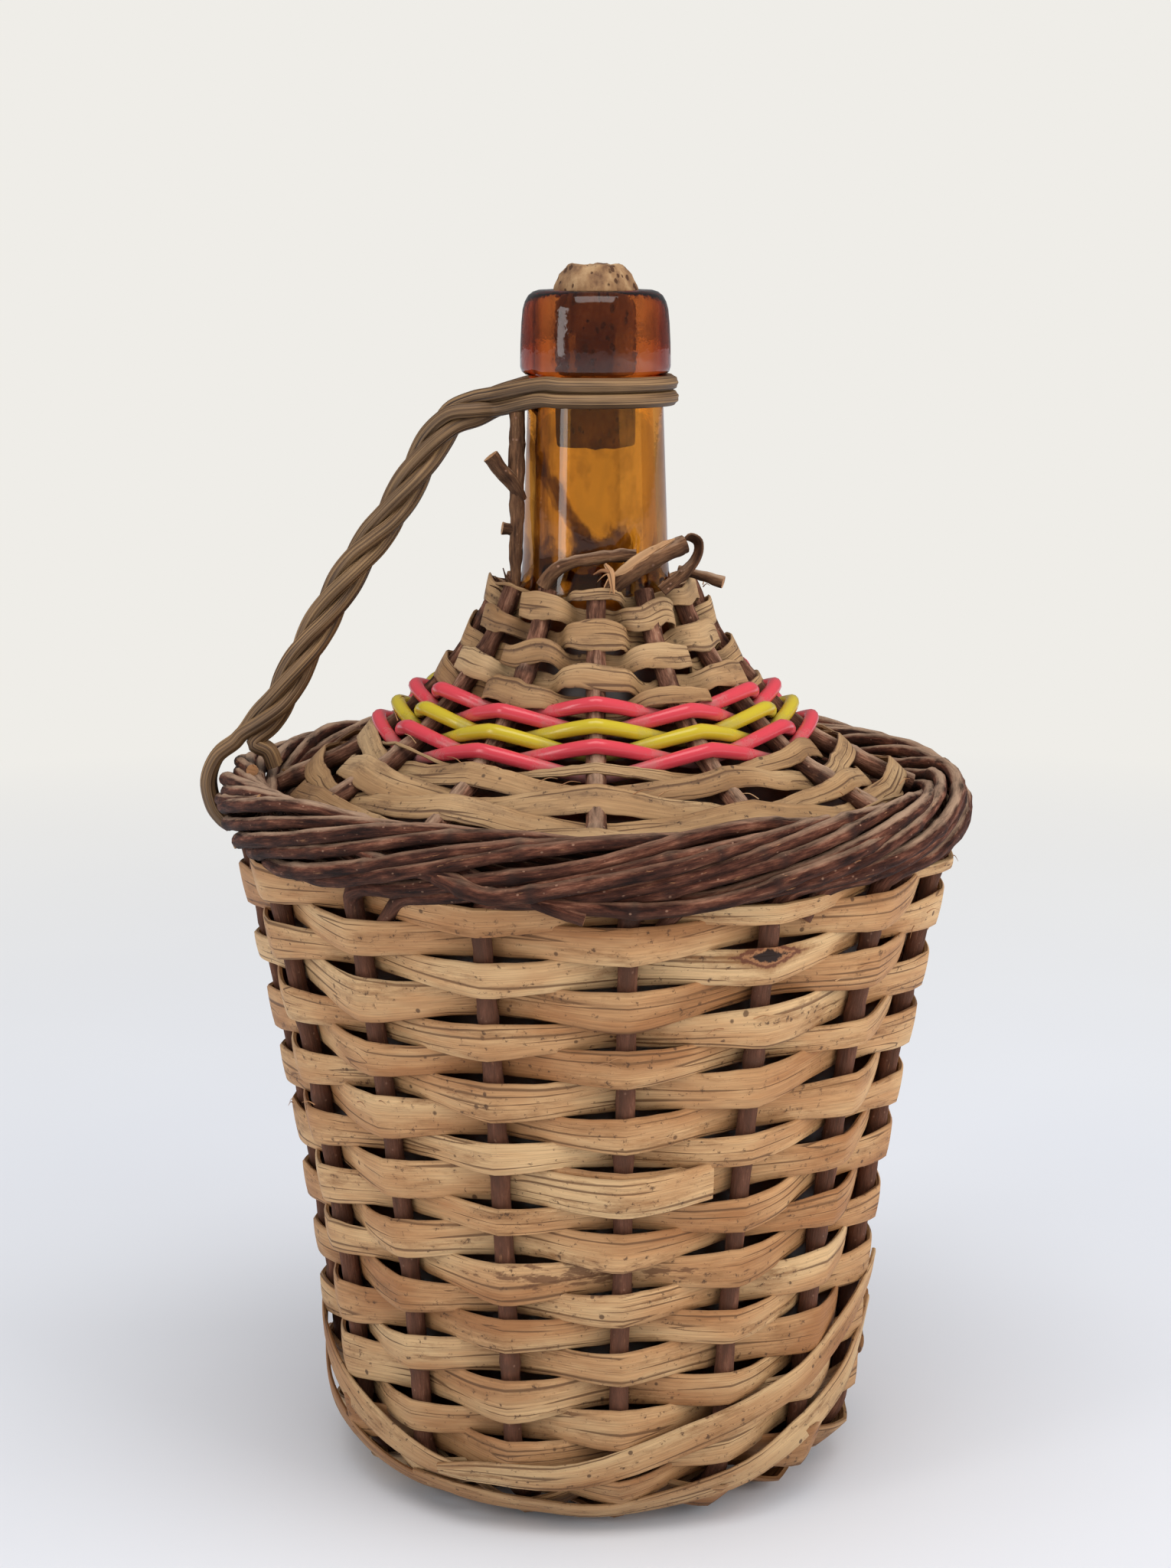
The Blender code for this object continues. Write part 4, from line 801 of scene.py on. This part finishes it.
# Shoulder stakes: twelve more willow rods, pushed in beside the border once the bottle is in its basket, and bent
# in to the foot of the neck. Their bark is the stakes' own, painted paler for the light that falls on the shoulder,
# and greyer with dust.
SHOULDER_COUNT, SHOULDER_THICK, SHOULDER_TIP = 12, 2.9, 2.8
SHOULDER_LOW = Vector((BORDER_RADIUS - BORDER_HALF_WIDTH - 3.0, BORDER_HEIGHT + 2.5))
SHOULDER_TOP = Vector((27.5, SHOULDER_LOW.y + 61.2))
SHOULDER_SHARES = ((0, 0), (0.09, 0.215), (0.235, 0.435), (0.396, 0.625), (0.579, 0.775), (0.733, 0.862),
                   (0.88, 0.94), (1, 1))
SHOULDER_RISE = Rise(smooth([Vector((SHOULDER_TOP.x + (SHOULDER_LOW.x - SHOULDER_TOP.x) * outward,
                                     SHOULDER_TOP.y + (SHOULDER_LOW.y - SHOULDER_TOP.y) * downward))
                             for outward, downward in SHOULDER_SHARES], 6))
# painted light: a paler copy of the stakes' bark for the lit shoulder, with dust in it too
THIN_WILLOW = willow_bark("thin_willow_bark", ("#3A1E15", "#64402F", "#8C5F4A", "#B98B6E"))
for number in range(SHOULDER_COUNT):
    angle = stake_angle(number, SHOULDER_COUNT)
    path = []
    for point in SHOULDER_RISE.points:
        sway = 0.35 * noise.noise(Vector((point.x / 14, number * 2.1, 0.5)))
        path.append(spot(point.x, point.y + sway * 0.5, angle + sway / point.x))
    lengths = lengths_of(path)
    stake = rod(f"shoulder_rod_{number + 1:02d}", path, tapered(lengths, SHOULDER_TIP, SHOULDER_THICK),
                THIN_WILLOW, CUT_WILLOW, start=number * 517.0, buds=bud_places(lengths[-1], number + 30),
                lumps=0.3, lump_size=5.0)
    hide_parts(f"shoulder_stake_{number + 1:02d}")

# Shoulder weaving: thin strips, narrow ones near the neck and broader ones by the border.
# Split wood that has weathered to grey-brown, frayed at the edges, folded sharply where it dives under a stake.
WEATHERED = split_wood("weathered_strip", ("#946E48", "#AE885E", "#C09E74"), "#553827", "#463226", "#76583E")
STRAND_THICK, STRAND_PITCH, STRAND_START, STRAND_TOTAL = 1.6, 3.9, 0.40, 6
SHOULDER_LENGTH = SHOULDER_RISE.runs[-1]
STRANDS_TOP = SHOULDER_LENGTH * STRAND_START - STRAND_THICK - 0.3
STRANDS_LOW = STRANDS_TOP + (STRAND_TOTAL - 1) * STRAND_PITCH + 2 * (STRAND_THICK + 0.3)
for band, edges, width, spread, shape in (
        ("upper", (0.5, STRANDS_TOP + 2.4), 6.5, 0.0,
         {"thickness": 0.8, "dip": -0.4, "slant": 2.4, "fold": 3.0, "swell": 1.8, "shared": 0.3, "uneven": 2.6,
          "ragged": 0.4, "stations": 20, "stand": 0.2}),
        ("lower", (STRANDS_LOW, SHOULDER_LENGTH - 2), 7.8, -0.5,
         {"thickness": 0.9, "slant": 2.0, "straight": 0.9, "swell": 0.8, "shared": 0.1, "uneven": 3.4,
          "ragged": 0.35, "stations": 16, "stand": 0.34, "warp": 0.8})):
    runs = (edges[0] + width / 2, edges[1] - width / 2)
    for number, letter in enumerate("ab"):
        weaver = woven_strip(f"{band}_strip_{letter}", SHOULDER_RISE, runs, width + 0.5, 3, number, SHOULDER_COUNT,
                             0.0, width + spread, stake_radius=2.5, finish=WEATHERED, crown=0.1,
                             tails=(True, True), start=300.0 * len(band) + 40.0 * width, **shape)
        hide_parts(f"{band}_shoulder_strip_{letter}")

# Coloured strands: six rounds of solid plastic cord, pink, yellow and pink in pairs, woven between the strips.
# PVC drawn to 3 mm: smooth and glossy, bent to a peak over each stake, dusty where it lies low.


def plastic_cord(name, fresh, dusty):
    """Glossy PVC cord with dust in its low places."""
    made, add = new_material(name, {"IOR": 1.54})
    cloud = add("TexNoise", {"Vector": add("UVMap"), "Scale": 1 / 3.0, "Detail": 5.0, "Roughness": 0.7})
    outside = add("Attribute", out="Fac", attribute_name="outside")
    dust = add("MapRange", [add("Math", [outside, cloud], operation="ADD"), 0.60, 1.15, 0.9, 0.0])
    gloss = add("MapRange", [dust, 0.0, 1.0, 0.18, 0.7])
    return wire(made, {"Base Color": lay(add, linear(fresh), dust, dusty), "Roughness": gloss})


CORDS = {"pink": plastic_cord("pink_plastic", "#D5434F", "#A87A72"),
         "yellow": plastic_cord("yellow_plastic", "#C5AF2A", "#9A8B46")}
STRAND_ROUND, STRAND_STATIONS, STRAND_TRIM, STRAND_CLEAR, STRAND_SIDES = 2.0, 16, 0.12, 2.85, 12
for number in range(STRAND_TOTAL):
    pair, partner = divmod(number, 2)
    colour = ("pink", "yellow", "pink")[pair]
    run = SHOULDER_LENGTH * STRAND_START + number * STRAND_PITCH
    point = SHOULDER_RISE.at(run)
    swing = SHOULDER_RISE.outward(run) * reach_over(STRAND_CLEAR + STRAND_THICK, point.x, SHOULDER_COUNT)
    path, outside, thicknesses = [], [], []
    steps = SHOULDER_COUNT * STRAND_STATIONS
    for step in range(steps + 1):
        stakes_on = STRAND_TRIM + (SHOULDER_COUNT - 2 * STRAND_TRIM) * step / steps
        wave = math.cos(math.pi * stakes_on)
        bulge = 0.3 * wave + 0.7 * (2 * abs(stakes_on % 2 - 1) - 1)
        level = point + swing * bulge
        angle = stake_angle(6 + partner + stakes_on, SHOULDER_COUNT)
        path.append(spot(level.x, level.y + 0.2 * noise.noise(Vector((angle * 3, number, 0.5))), angle))
        outside += [0.5 + 0.5 * bulge] * STRAND_SIDES
        thicknesses.append(STRAND_ROUND + 0.2 * wave)
    strand = rod(f"{colour}_cord_{number + 1}", path, thicknesses, CORDS[colour], lumps=0.05, sides=STRAND_SIDES,
                 start=number * 811.0)
    strand.data.attributes.new("outside", "FLOAT", "POINT").data.foreach_set("value", outside)
    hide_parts(f"{colour}_strand_{pair + 1}{'ab'[partner]}")

# Handle: two long canes, each looped once round the neck under the collar, then all four legs twisted together
# down to the border, where one pair loops under the rolled rods and the other is tucked in behind them.
# Rattan core: tan, satin, with the grooves of its fibres along it and darker dirt in them.
CANE_THICK, CANE_ROUND, CANE_GAP, ROPE_TURNS, ROPE_STEPS, WRAP_STEPS = 1.9, 2.2, 0.5, 2, 18, 14
NECK_FOOT, NECK_TOP, BORDER_MARGIN = Vector((21.6, 272.5)), Vector((19.6, 327.0)), 2.55
ROPE_RADIUS = (CANE_THICK + 0.15) * math.sqrt(2) * 1.052
ROPE_TOP, ROPE_LOW = NECK_TOP + Vector((16.4, -10.2)), Vector((BORDER_RADIUS, BORDER_HEIGHT + 16.7))
ROPE_SHARES = ((0, 0), (0.085, 0.025), (0.168, 0.093), (0.37, 0.326), (0.52, 0.467), (0.754, 0.745), (0.87, 0.895),
               (1, 1))
ROPE_LINE = Rise(smooth([Vector((28.5, 319.4))] + [Vector((ROPE_TOP.x + (ROPE_LOW.x - ROPE_TOP.x) * outward,
                                                           ROPE_TOP.y + (ROPE_LOW.y - ROPE_TOP.y) * downward))
                                                   for outward, downward in ROPE_SHARES], 6))


def rattan():
    """Rattan core, its fibres showing as grooves."""
    made, add = new_material("rattan_cane", {"Roughness": 0.52, "IOR": 1.5})
    place = add("UVMap")
    grooves = drawn_noise(add, place, 60, 0.6, 4.0, 0.6)
    cane = add("ValToRGB", [grooves], stops=[(0.37, "#3C281A"), (0.61, "#9C7A52"), (0.48, "#75583B")])
    patches = add("TexNoise", {"Vector": place, "Scale": 1 / 18, "Detail": 3.0})
    cane = lay(add, cane, patches, levels=(0.35, 0.65, 0.78, 1.08))
    # undersides: painted shade darkens the canes where they face down, and their tops are painted a little lighter
    facing_up = add("SeparateXYZ", [add("NewGeometry", out="Normal")], "Z")
    cane = lay(add, cane, facing_up, levels=(-0.8, 0.3, 0.45, 1.08))
    return wire(made, {"Base Color": cane}, grooves, 0.6, 0.0004)


def rope_spot(share, phase_deg):
    """A point on the middle of one leg of the rope."""
    run = ROPE_LINE.runs[-1] * share
    phase = math.radians(phase_deg + 360 * ROPE_TURNS * share)
    along = ROPE_LINE.along(run)
    middle = ROPE_LINE.at(run) + Vector((-along.y, along.x)) * ROPE_RADIUS * math.cos(phase)
    return Vector((-middle.x, ROPE_RADIUS * math.sin(phase), middle.y))


def round_border(phase_deg, share, sideways):
    """A point beside the border on the handle's side."""
    margin = BORDER_MARGIN + CANE_THICK
    phase = math.radians(phase_deg)
    return Vector((-BORDER_RADIUS - (BORDER_HALF_WIDTH + margin) * share * math.cos(phase), sideways,
                   BORDER_HEIGHT + (BORDER_HALF_HEIGHT + margin) * share * math.sin(phase)))


RATTAN = rattan()
for number, (layer, ends) in enumerate((
        ("upper", ((72, 1.36), (45, 1.33), (15, 1.27), (-15, 1.15), (-38, 1.06), (-56, 1.0))),
        ("lower", ((118, 1.2), (138, 1.0))))):
    height = NECK_TOP.y - 0.3 - CANE_THICK - number * (2 * CANE_THICK + CANE_GAP)
    legs = []
    for direction in (-1, 1):
        sideways = direction * (CANE_THICK + CANE_GAP / 2)
        leg = [round_border(phase, share, sideways) for phase, share in reversed(ends)]
        leg += [rope_spot(1 - step / ROPE_STEPS, direction * (45 + 90 * number)) for step in range(ROPE_STEPS + 1)]
        legs.append(leg)
    start = legs[0][-1]
    neck = NECK_FOOT.lerp(NECK_TOP, (height - NECK_FOOT.y) / (NECK_TOP.y - NECK_FOOT.y)).x
    lie = neck + 0.15 + CANE_ROUND
    half_span = math.pi - math.atan2(-start.y, -start.x) - math.acos(lie / math.hypot(start.x, start.y))
    wrap = [spot(lie, height, half_span * (2 * step / WRAP_STEPS - 1)) for step in range(WRAP_STEPS + 1)]
    path = smooth([*legs[0], *wrap, *reversed(legs[1])], 5)
    cane = rod(f"twisted_cane_{layer}", path, [CANE_ROUND] * len(path), RATTAN, CUT_WILLOW, sides=36,
               lumps=0.08, lump_size=7.0, flutes=9, flute_depth=0.12, start=number * 2000.0)
    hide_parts(f"handle_cane_{layer}")

# Neck twig: a dead willow shoot left standing between the handle and the neck, held under the lower cane,
# with a cut branch and a stub. Each row is x, y, z, thickness.
DEAD_WILLOW = willow_bark("dead_willow_bark", ("#462C1C", "#67462F", "#835D40", "#A37C58"))
TWIG_PARTS = (
    ("stem", ((-23.4, -13.2, 264.0, 1.3), (-23.2, -10.5, 276.0, 1.9), (-22.9, -8.6, 288.0, 2.2),
              (-23.1, -7.0, 299.0, 2.5), (-22.8, -5.8, 309.0, 2.4), (-23.0, -5.0, 319.5, 2.5))),
    ("branch", ((-21.5, -8.0, 291.0, 1.9), (-24.0, -8.6, 295.8, 2.3), (-27.4, -9.2, 299.8, 2.3),
                (-30.6, -9.8, 304.0, 2.4))),
    ("stub", ((-22.6, -9.0, 281.4, 1.7), (-25.0, -9.6, 282.8, 1.8), (-27.2, -10.0, 283.2, 1.9))))


def bent_rod(name, table, start):
    """A short willow rod through a table of places, each with its radius."""
    return rod(name, smooth([Vector(row[:3]) for row in table], 6), smooth([row[3] for row in table], 6),
               DEAD_WILLOW, CUT_WILLOW, start=start, lumps=0.5, lump_size=3.0)


for index, (label, table) in enumerate(TWIG_PARTS):
    part = bent_rod(f"twig_{label}", table, 4000.0 + 90 * index)
    if label == "stem":
        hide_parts("neck_twig")

# Broken ends: snapped stakes that still lie round the foot of the neck, one of them split, with its bark peeling.
# The same willow as the stakes; where it split, the pale wood shows and has frayed.
broken = bent_rod("snapped_broken_stake_end", (
    (-14.6, -25.0, 268.0, 2.2), (-12.2, -26.2, 272.2, 2.2), (-7.5, -27.0, 274.8, 1.9), (-1.0, -27.2, 276.2, 1.9),
    (6.0, -27.2, 277.0, 1.9), (11.5, -26.4, 277.2, 1.7)), 6100.0)
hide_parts("broken_stake_end")
split = bent_rod("snapped_split_stake", (
    (4.0, -28.0, 267.0, 2.3), (8.5, -29.2, 271.5, 2.9), (14.0, -29.0, 275.0, 3.1), (20.0, -27.8, 278.0, 2.9),
    (25.5, -25.6, 280.2, 2.7)), 6300.0)
stub = bent_rod("snapped_broken_stake_stub", (
    (24.0, -16.0, 271.5, 1.5), (29.5, -17.5, 270.4, 1.6), (37.0, -19.5, 268.4, 1.7)), 6500.0)
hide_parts("broken_stake_stub")
for label, finish, thickness, table in (
        ("split_face", CUT_WILLOW, 0.5, (
            (4.6, -31.0, 271.6, -0.4, -0.3, 0.8, 0.8), (8.6, -32.0, 274.0, -0.4, -0.2, 0.9, 2.8),
            (13.5, -31.6, 277.4, -0.4, -0.2, 0.9, 3.0), (18.5, -30.1, 280.1, -0.4, -0.2, 0.9, 2.2),
            (22.5, -28.4, 281.9, -0.4, -0.2, 0.9, 0.6))),
        ("split_tongue", CUT_WILLOW, 0.6, (
            (2.6, -30.6, 275.0, 1, 0.1, 0.2, 1.0), (4.2, -31.4, 272.6, 1, 0.1, 0.3, 2.4),
            (4.8, -32.0, 269.6, 1, 0, 0.2, 1.6), (5.2, -32.4, 266.6, 1, 0, 0, 0.3))),
        ("split_tongue_short", CUT_WILLOW, 0.4, (
            (3.8, -31.6, 273.0, 0.7, 0.1, 0.7, 1.4), (1.4, -31.4, 273.2, 0.1, 0, 1, 1.0),
            (-0.6, -31.0, 272.0, 0.1, 0, 1, 0.2))),
        ("bark_loop", DEAD_WILLOW, 0.7, (
            (24.0, -25.6, 280.6, 0.7, -0.5, 0.5, 3.0), (26.6, -24.4, 282.2, 0.5, -0.7, 0.5, 4.0),
            (29.6, -23.0, 280.2, 0.4, -0.8, 0.4, 4.6), (29.0, -23.6, 276.0, 0.7, -0.6, 0.3, 4.2),
            (25.5, -25.4, 272.0, 0.8, -0.4, -0.4, 3.8), (19.0, -28.4, 267.0, 0.6, -0.3, -0.7, 3.6)))):
    part = ribbon(f"snapped_{label}", table, thickness, finish, 7000.0 + 100 * len(label))

# Splinters: the frayed end of a willow stake left of the neck, shreds of the split stake, and hairs of chestnut
# that stand off the strips' edges all over, where the knife tore the wood. Each row is foot, tip, thickness.
HAIRS = [((-24.5, -9.0, 262.0), (-29.5, -9.5, 269.0), 0.7), ((-25.0, -9.5, 262.0), (-27.0, -10.5, 271.5), 0.6),
         ((-24.0, -10.0, 262.0), (-25.8, -11.5, 269.5), 0.7), ((-25.5, -9.0, 262.0), (-31.0, -10.0, 266.5), 0.5),
         ((4.4, -31.4, 272.6), (0.4, -32.0, 270.0), 0.3), ((4.6, -31.4, 272.0), (2.2, -32.2, 268.0), 0.35),
         ((5.0, -31.6, 272.0), (4.0, -32.6, 266.6), 0.3)]
HAIR_LINES = ((STAKE_RISE, SIDE_RUNS[0] + 30, SIDE_RUNS[1], 4.1), (SHOULDER_RISE, 2.0, SHOULDER_LENGTH, 3.6))
for number in range(64):
    line, low_run, high_run, out = HAIR_LINES[number % 2]
    run = low_run + (high_run - low_run) * ((number * 0.382) % 1.0)
    angle = math.radians(number * 137.5)
    base = line.at(run) + line.outward(run) * out
    lean = noise.noise(Vector((number * 1.3, 0.5, 0.5)))
    tip = base + line.outward(run) * 1.8 + line.along(run) * 3.0 * lean
    tip_angle = angle + (5.5 if lean > 0 else -5.5) / base.x
    HAIRS.append((spot(base.x, base.y, angle), spot(tip.x, tip.y, tip_angle), 0.2))
for number, (foot, tip, thick) in enumerate(HAIRS):
    foot, tip = Vector(foot), Vector(tip)
    bow = Vector((0, 0, 0.12 * (tip - foot).length))
    path = smooth([foot, (foot + tip) / 2 + bow, tip], 3)
    rod(f"splinter_{number + 1:02d}", path, [thick * (1 - 0.12 * step) for step in range(len(path))],
        DEAD_WILLOW if number < 4 else CUT_WILLOW, lumps=0.1 * thick, lump_size=1.0, sides=5,
        start=9000.0 + 20 * number)

# The room: a pale floor that fades into a plain backdrop, one window-like lamp on the left, and soft light
# from the right, from above and from the sky.
BACKDROP_COLOUR, SKY_COLOUR = "#EFEDE8", "#F4F5F7"
FLOOR_REACH, FLOOR_LEVEL = 6, -0.0002
floor_mesh = bpy.data.meshes.new("floor")
floor_mesh.from_pydata([(x * FLOOR_REACH, y * FLOOR_REACH, FLOOR_LEVEL)
                        for x, y in ((-1, -1), (1, -1), (1, 1), (-1, 1))], [], [(0, 1, 2, 3)])
floor = add_object("floor", floor_mesh)
floor_finish, add = new_material("pale_floor", {"Roughness": 0.8, "IOR": 1.5})
place = add("NewGeometry")
cloth = add("TexNoise", {"Vector": place, "Scale": 1.5, "Detail": 4.0})
tone = add("ValToRGB", [cloth], stops=[(0.35, "#DFE2E9"), (0.65, "#E6E9EF")])
wire(floor_finish, {"Base Color": tone})
far = add("MapRange", [add("VectorMath", [place], "Value", operation="LENGTH"), 0.35, 1.2])
faded = add("Math", [far, add("LightPath", out="Is Camera Ray")], operation="MULTIPLY")
backdrop = add("Emission", {"Color": linear(BACKDROP_COLOUR)})
tree = floor_finish.node_tree
mixed = add("MixShader", [faded, tree.nodes["Principled BSDF"].outputs[0], backdrop])
tree.links.new(mixed, tree.nodes["Material Output"].inputs["Surface"])
floor_mesh.materials.append(floor_finish)

world = bpy.data.worlds.new("studio")
bpy.context.scene.world = world
world.use_nodes = True
tree = world.node_tree
add = functools.partial(add_node, tree)
camera_ray, glass_ray, mirror_ray = [add("LightPath", out=f"Is {ray} Ray")
                                     for ray in ("Camera", "Transmission", "Glossy")]
soft, dim, plain = [add("Background", {"Color": linear(hue), "Strength": strength})
                    for hue, strength in ((SKY_COLOUR, 0.74), (SKY_COLOUR, 0.22), (BACKDROP_COLOUR, 1.0))]
mirrored = add("MixShader", [mirror_ray, soft, dim])
seen = add("Math", [camera_ray, glass_ray], operation="MAXIMUM")
tree.links.new(add("MixShader", [seen, mirrored, plain]), tree.nodes["World Output"].inputs["Surface"])

LAMP_COLOUR, LAMP_AIM = (1.0, 0.98, 0.955), Vector((0, 0, 0.18))
for name, azimuth, height, distance, size, power in (("window", -144, 0.62, 1.6, (0.4, 1.0), 4.4),
                                                     ("room", -22, 0.8, 1.9, (1.8, 1.6), 22.0),
                                                     ("ceiling", -90, 2.1, 0.7, (1.6, 1.2), 16.0)):
    lamp = bpy.data.lights.new(name, "AREA")
    lamp.shape = "RECTANGLE"
    lamp.size, lamp.size_y = size
    lamp.energy = power
    lamp.color = LAMP_COLOUR
    holder = add_object(name, lamp)
    angle = math.radians(azimuth)
    holder.location = (distance * math.cos(angle), distance * math.sin(angle), height)
    holder.rotation_euler = (LAMP_AIM - holder.location).to_track_quat("-Z", "Y").to_euler()
    holder.visible_glossy = name != "room"

# The camera stands where the photograph was taken, 0.84 m in front and a little above the collar,
# and looks down by 11 degrees.
CAMERA_PLACE, CAMERA_PITCH, CAMERA_LENS = (-0.0029, -0.835, 0.3685), 11.07, 65.04
camera = bpy.data.cameras.new("camera")
camera.lens = CAMERA_LENS
camera.sensor_width = 36.0
camera.sensor_fit = "AUTO"
camera_holder = add_object("camera", camera)
camera_holder.location = CAMERA_PLACE
camera_holder.rotation_euler = (math.radians(90 - CAMERA_PITCH), 0, 0)
bpy.context.scene.camera = camera_holder
bpy.context.scene.view_settings.view_transform = "Standard"
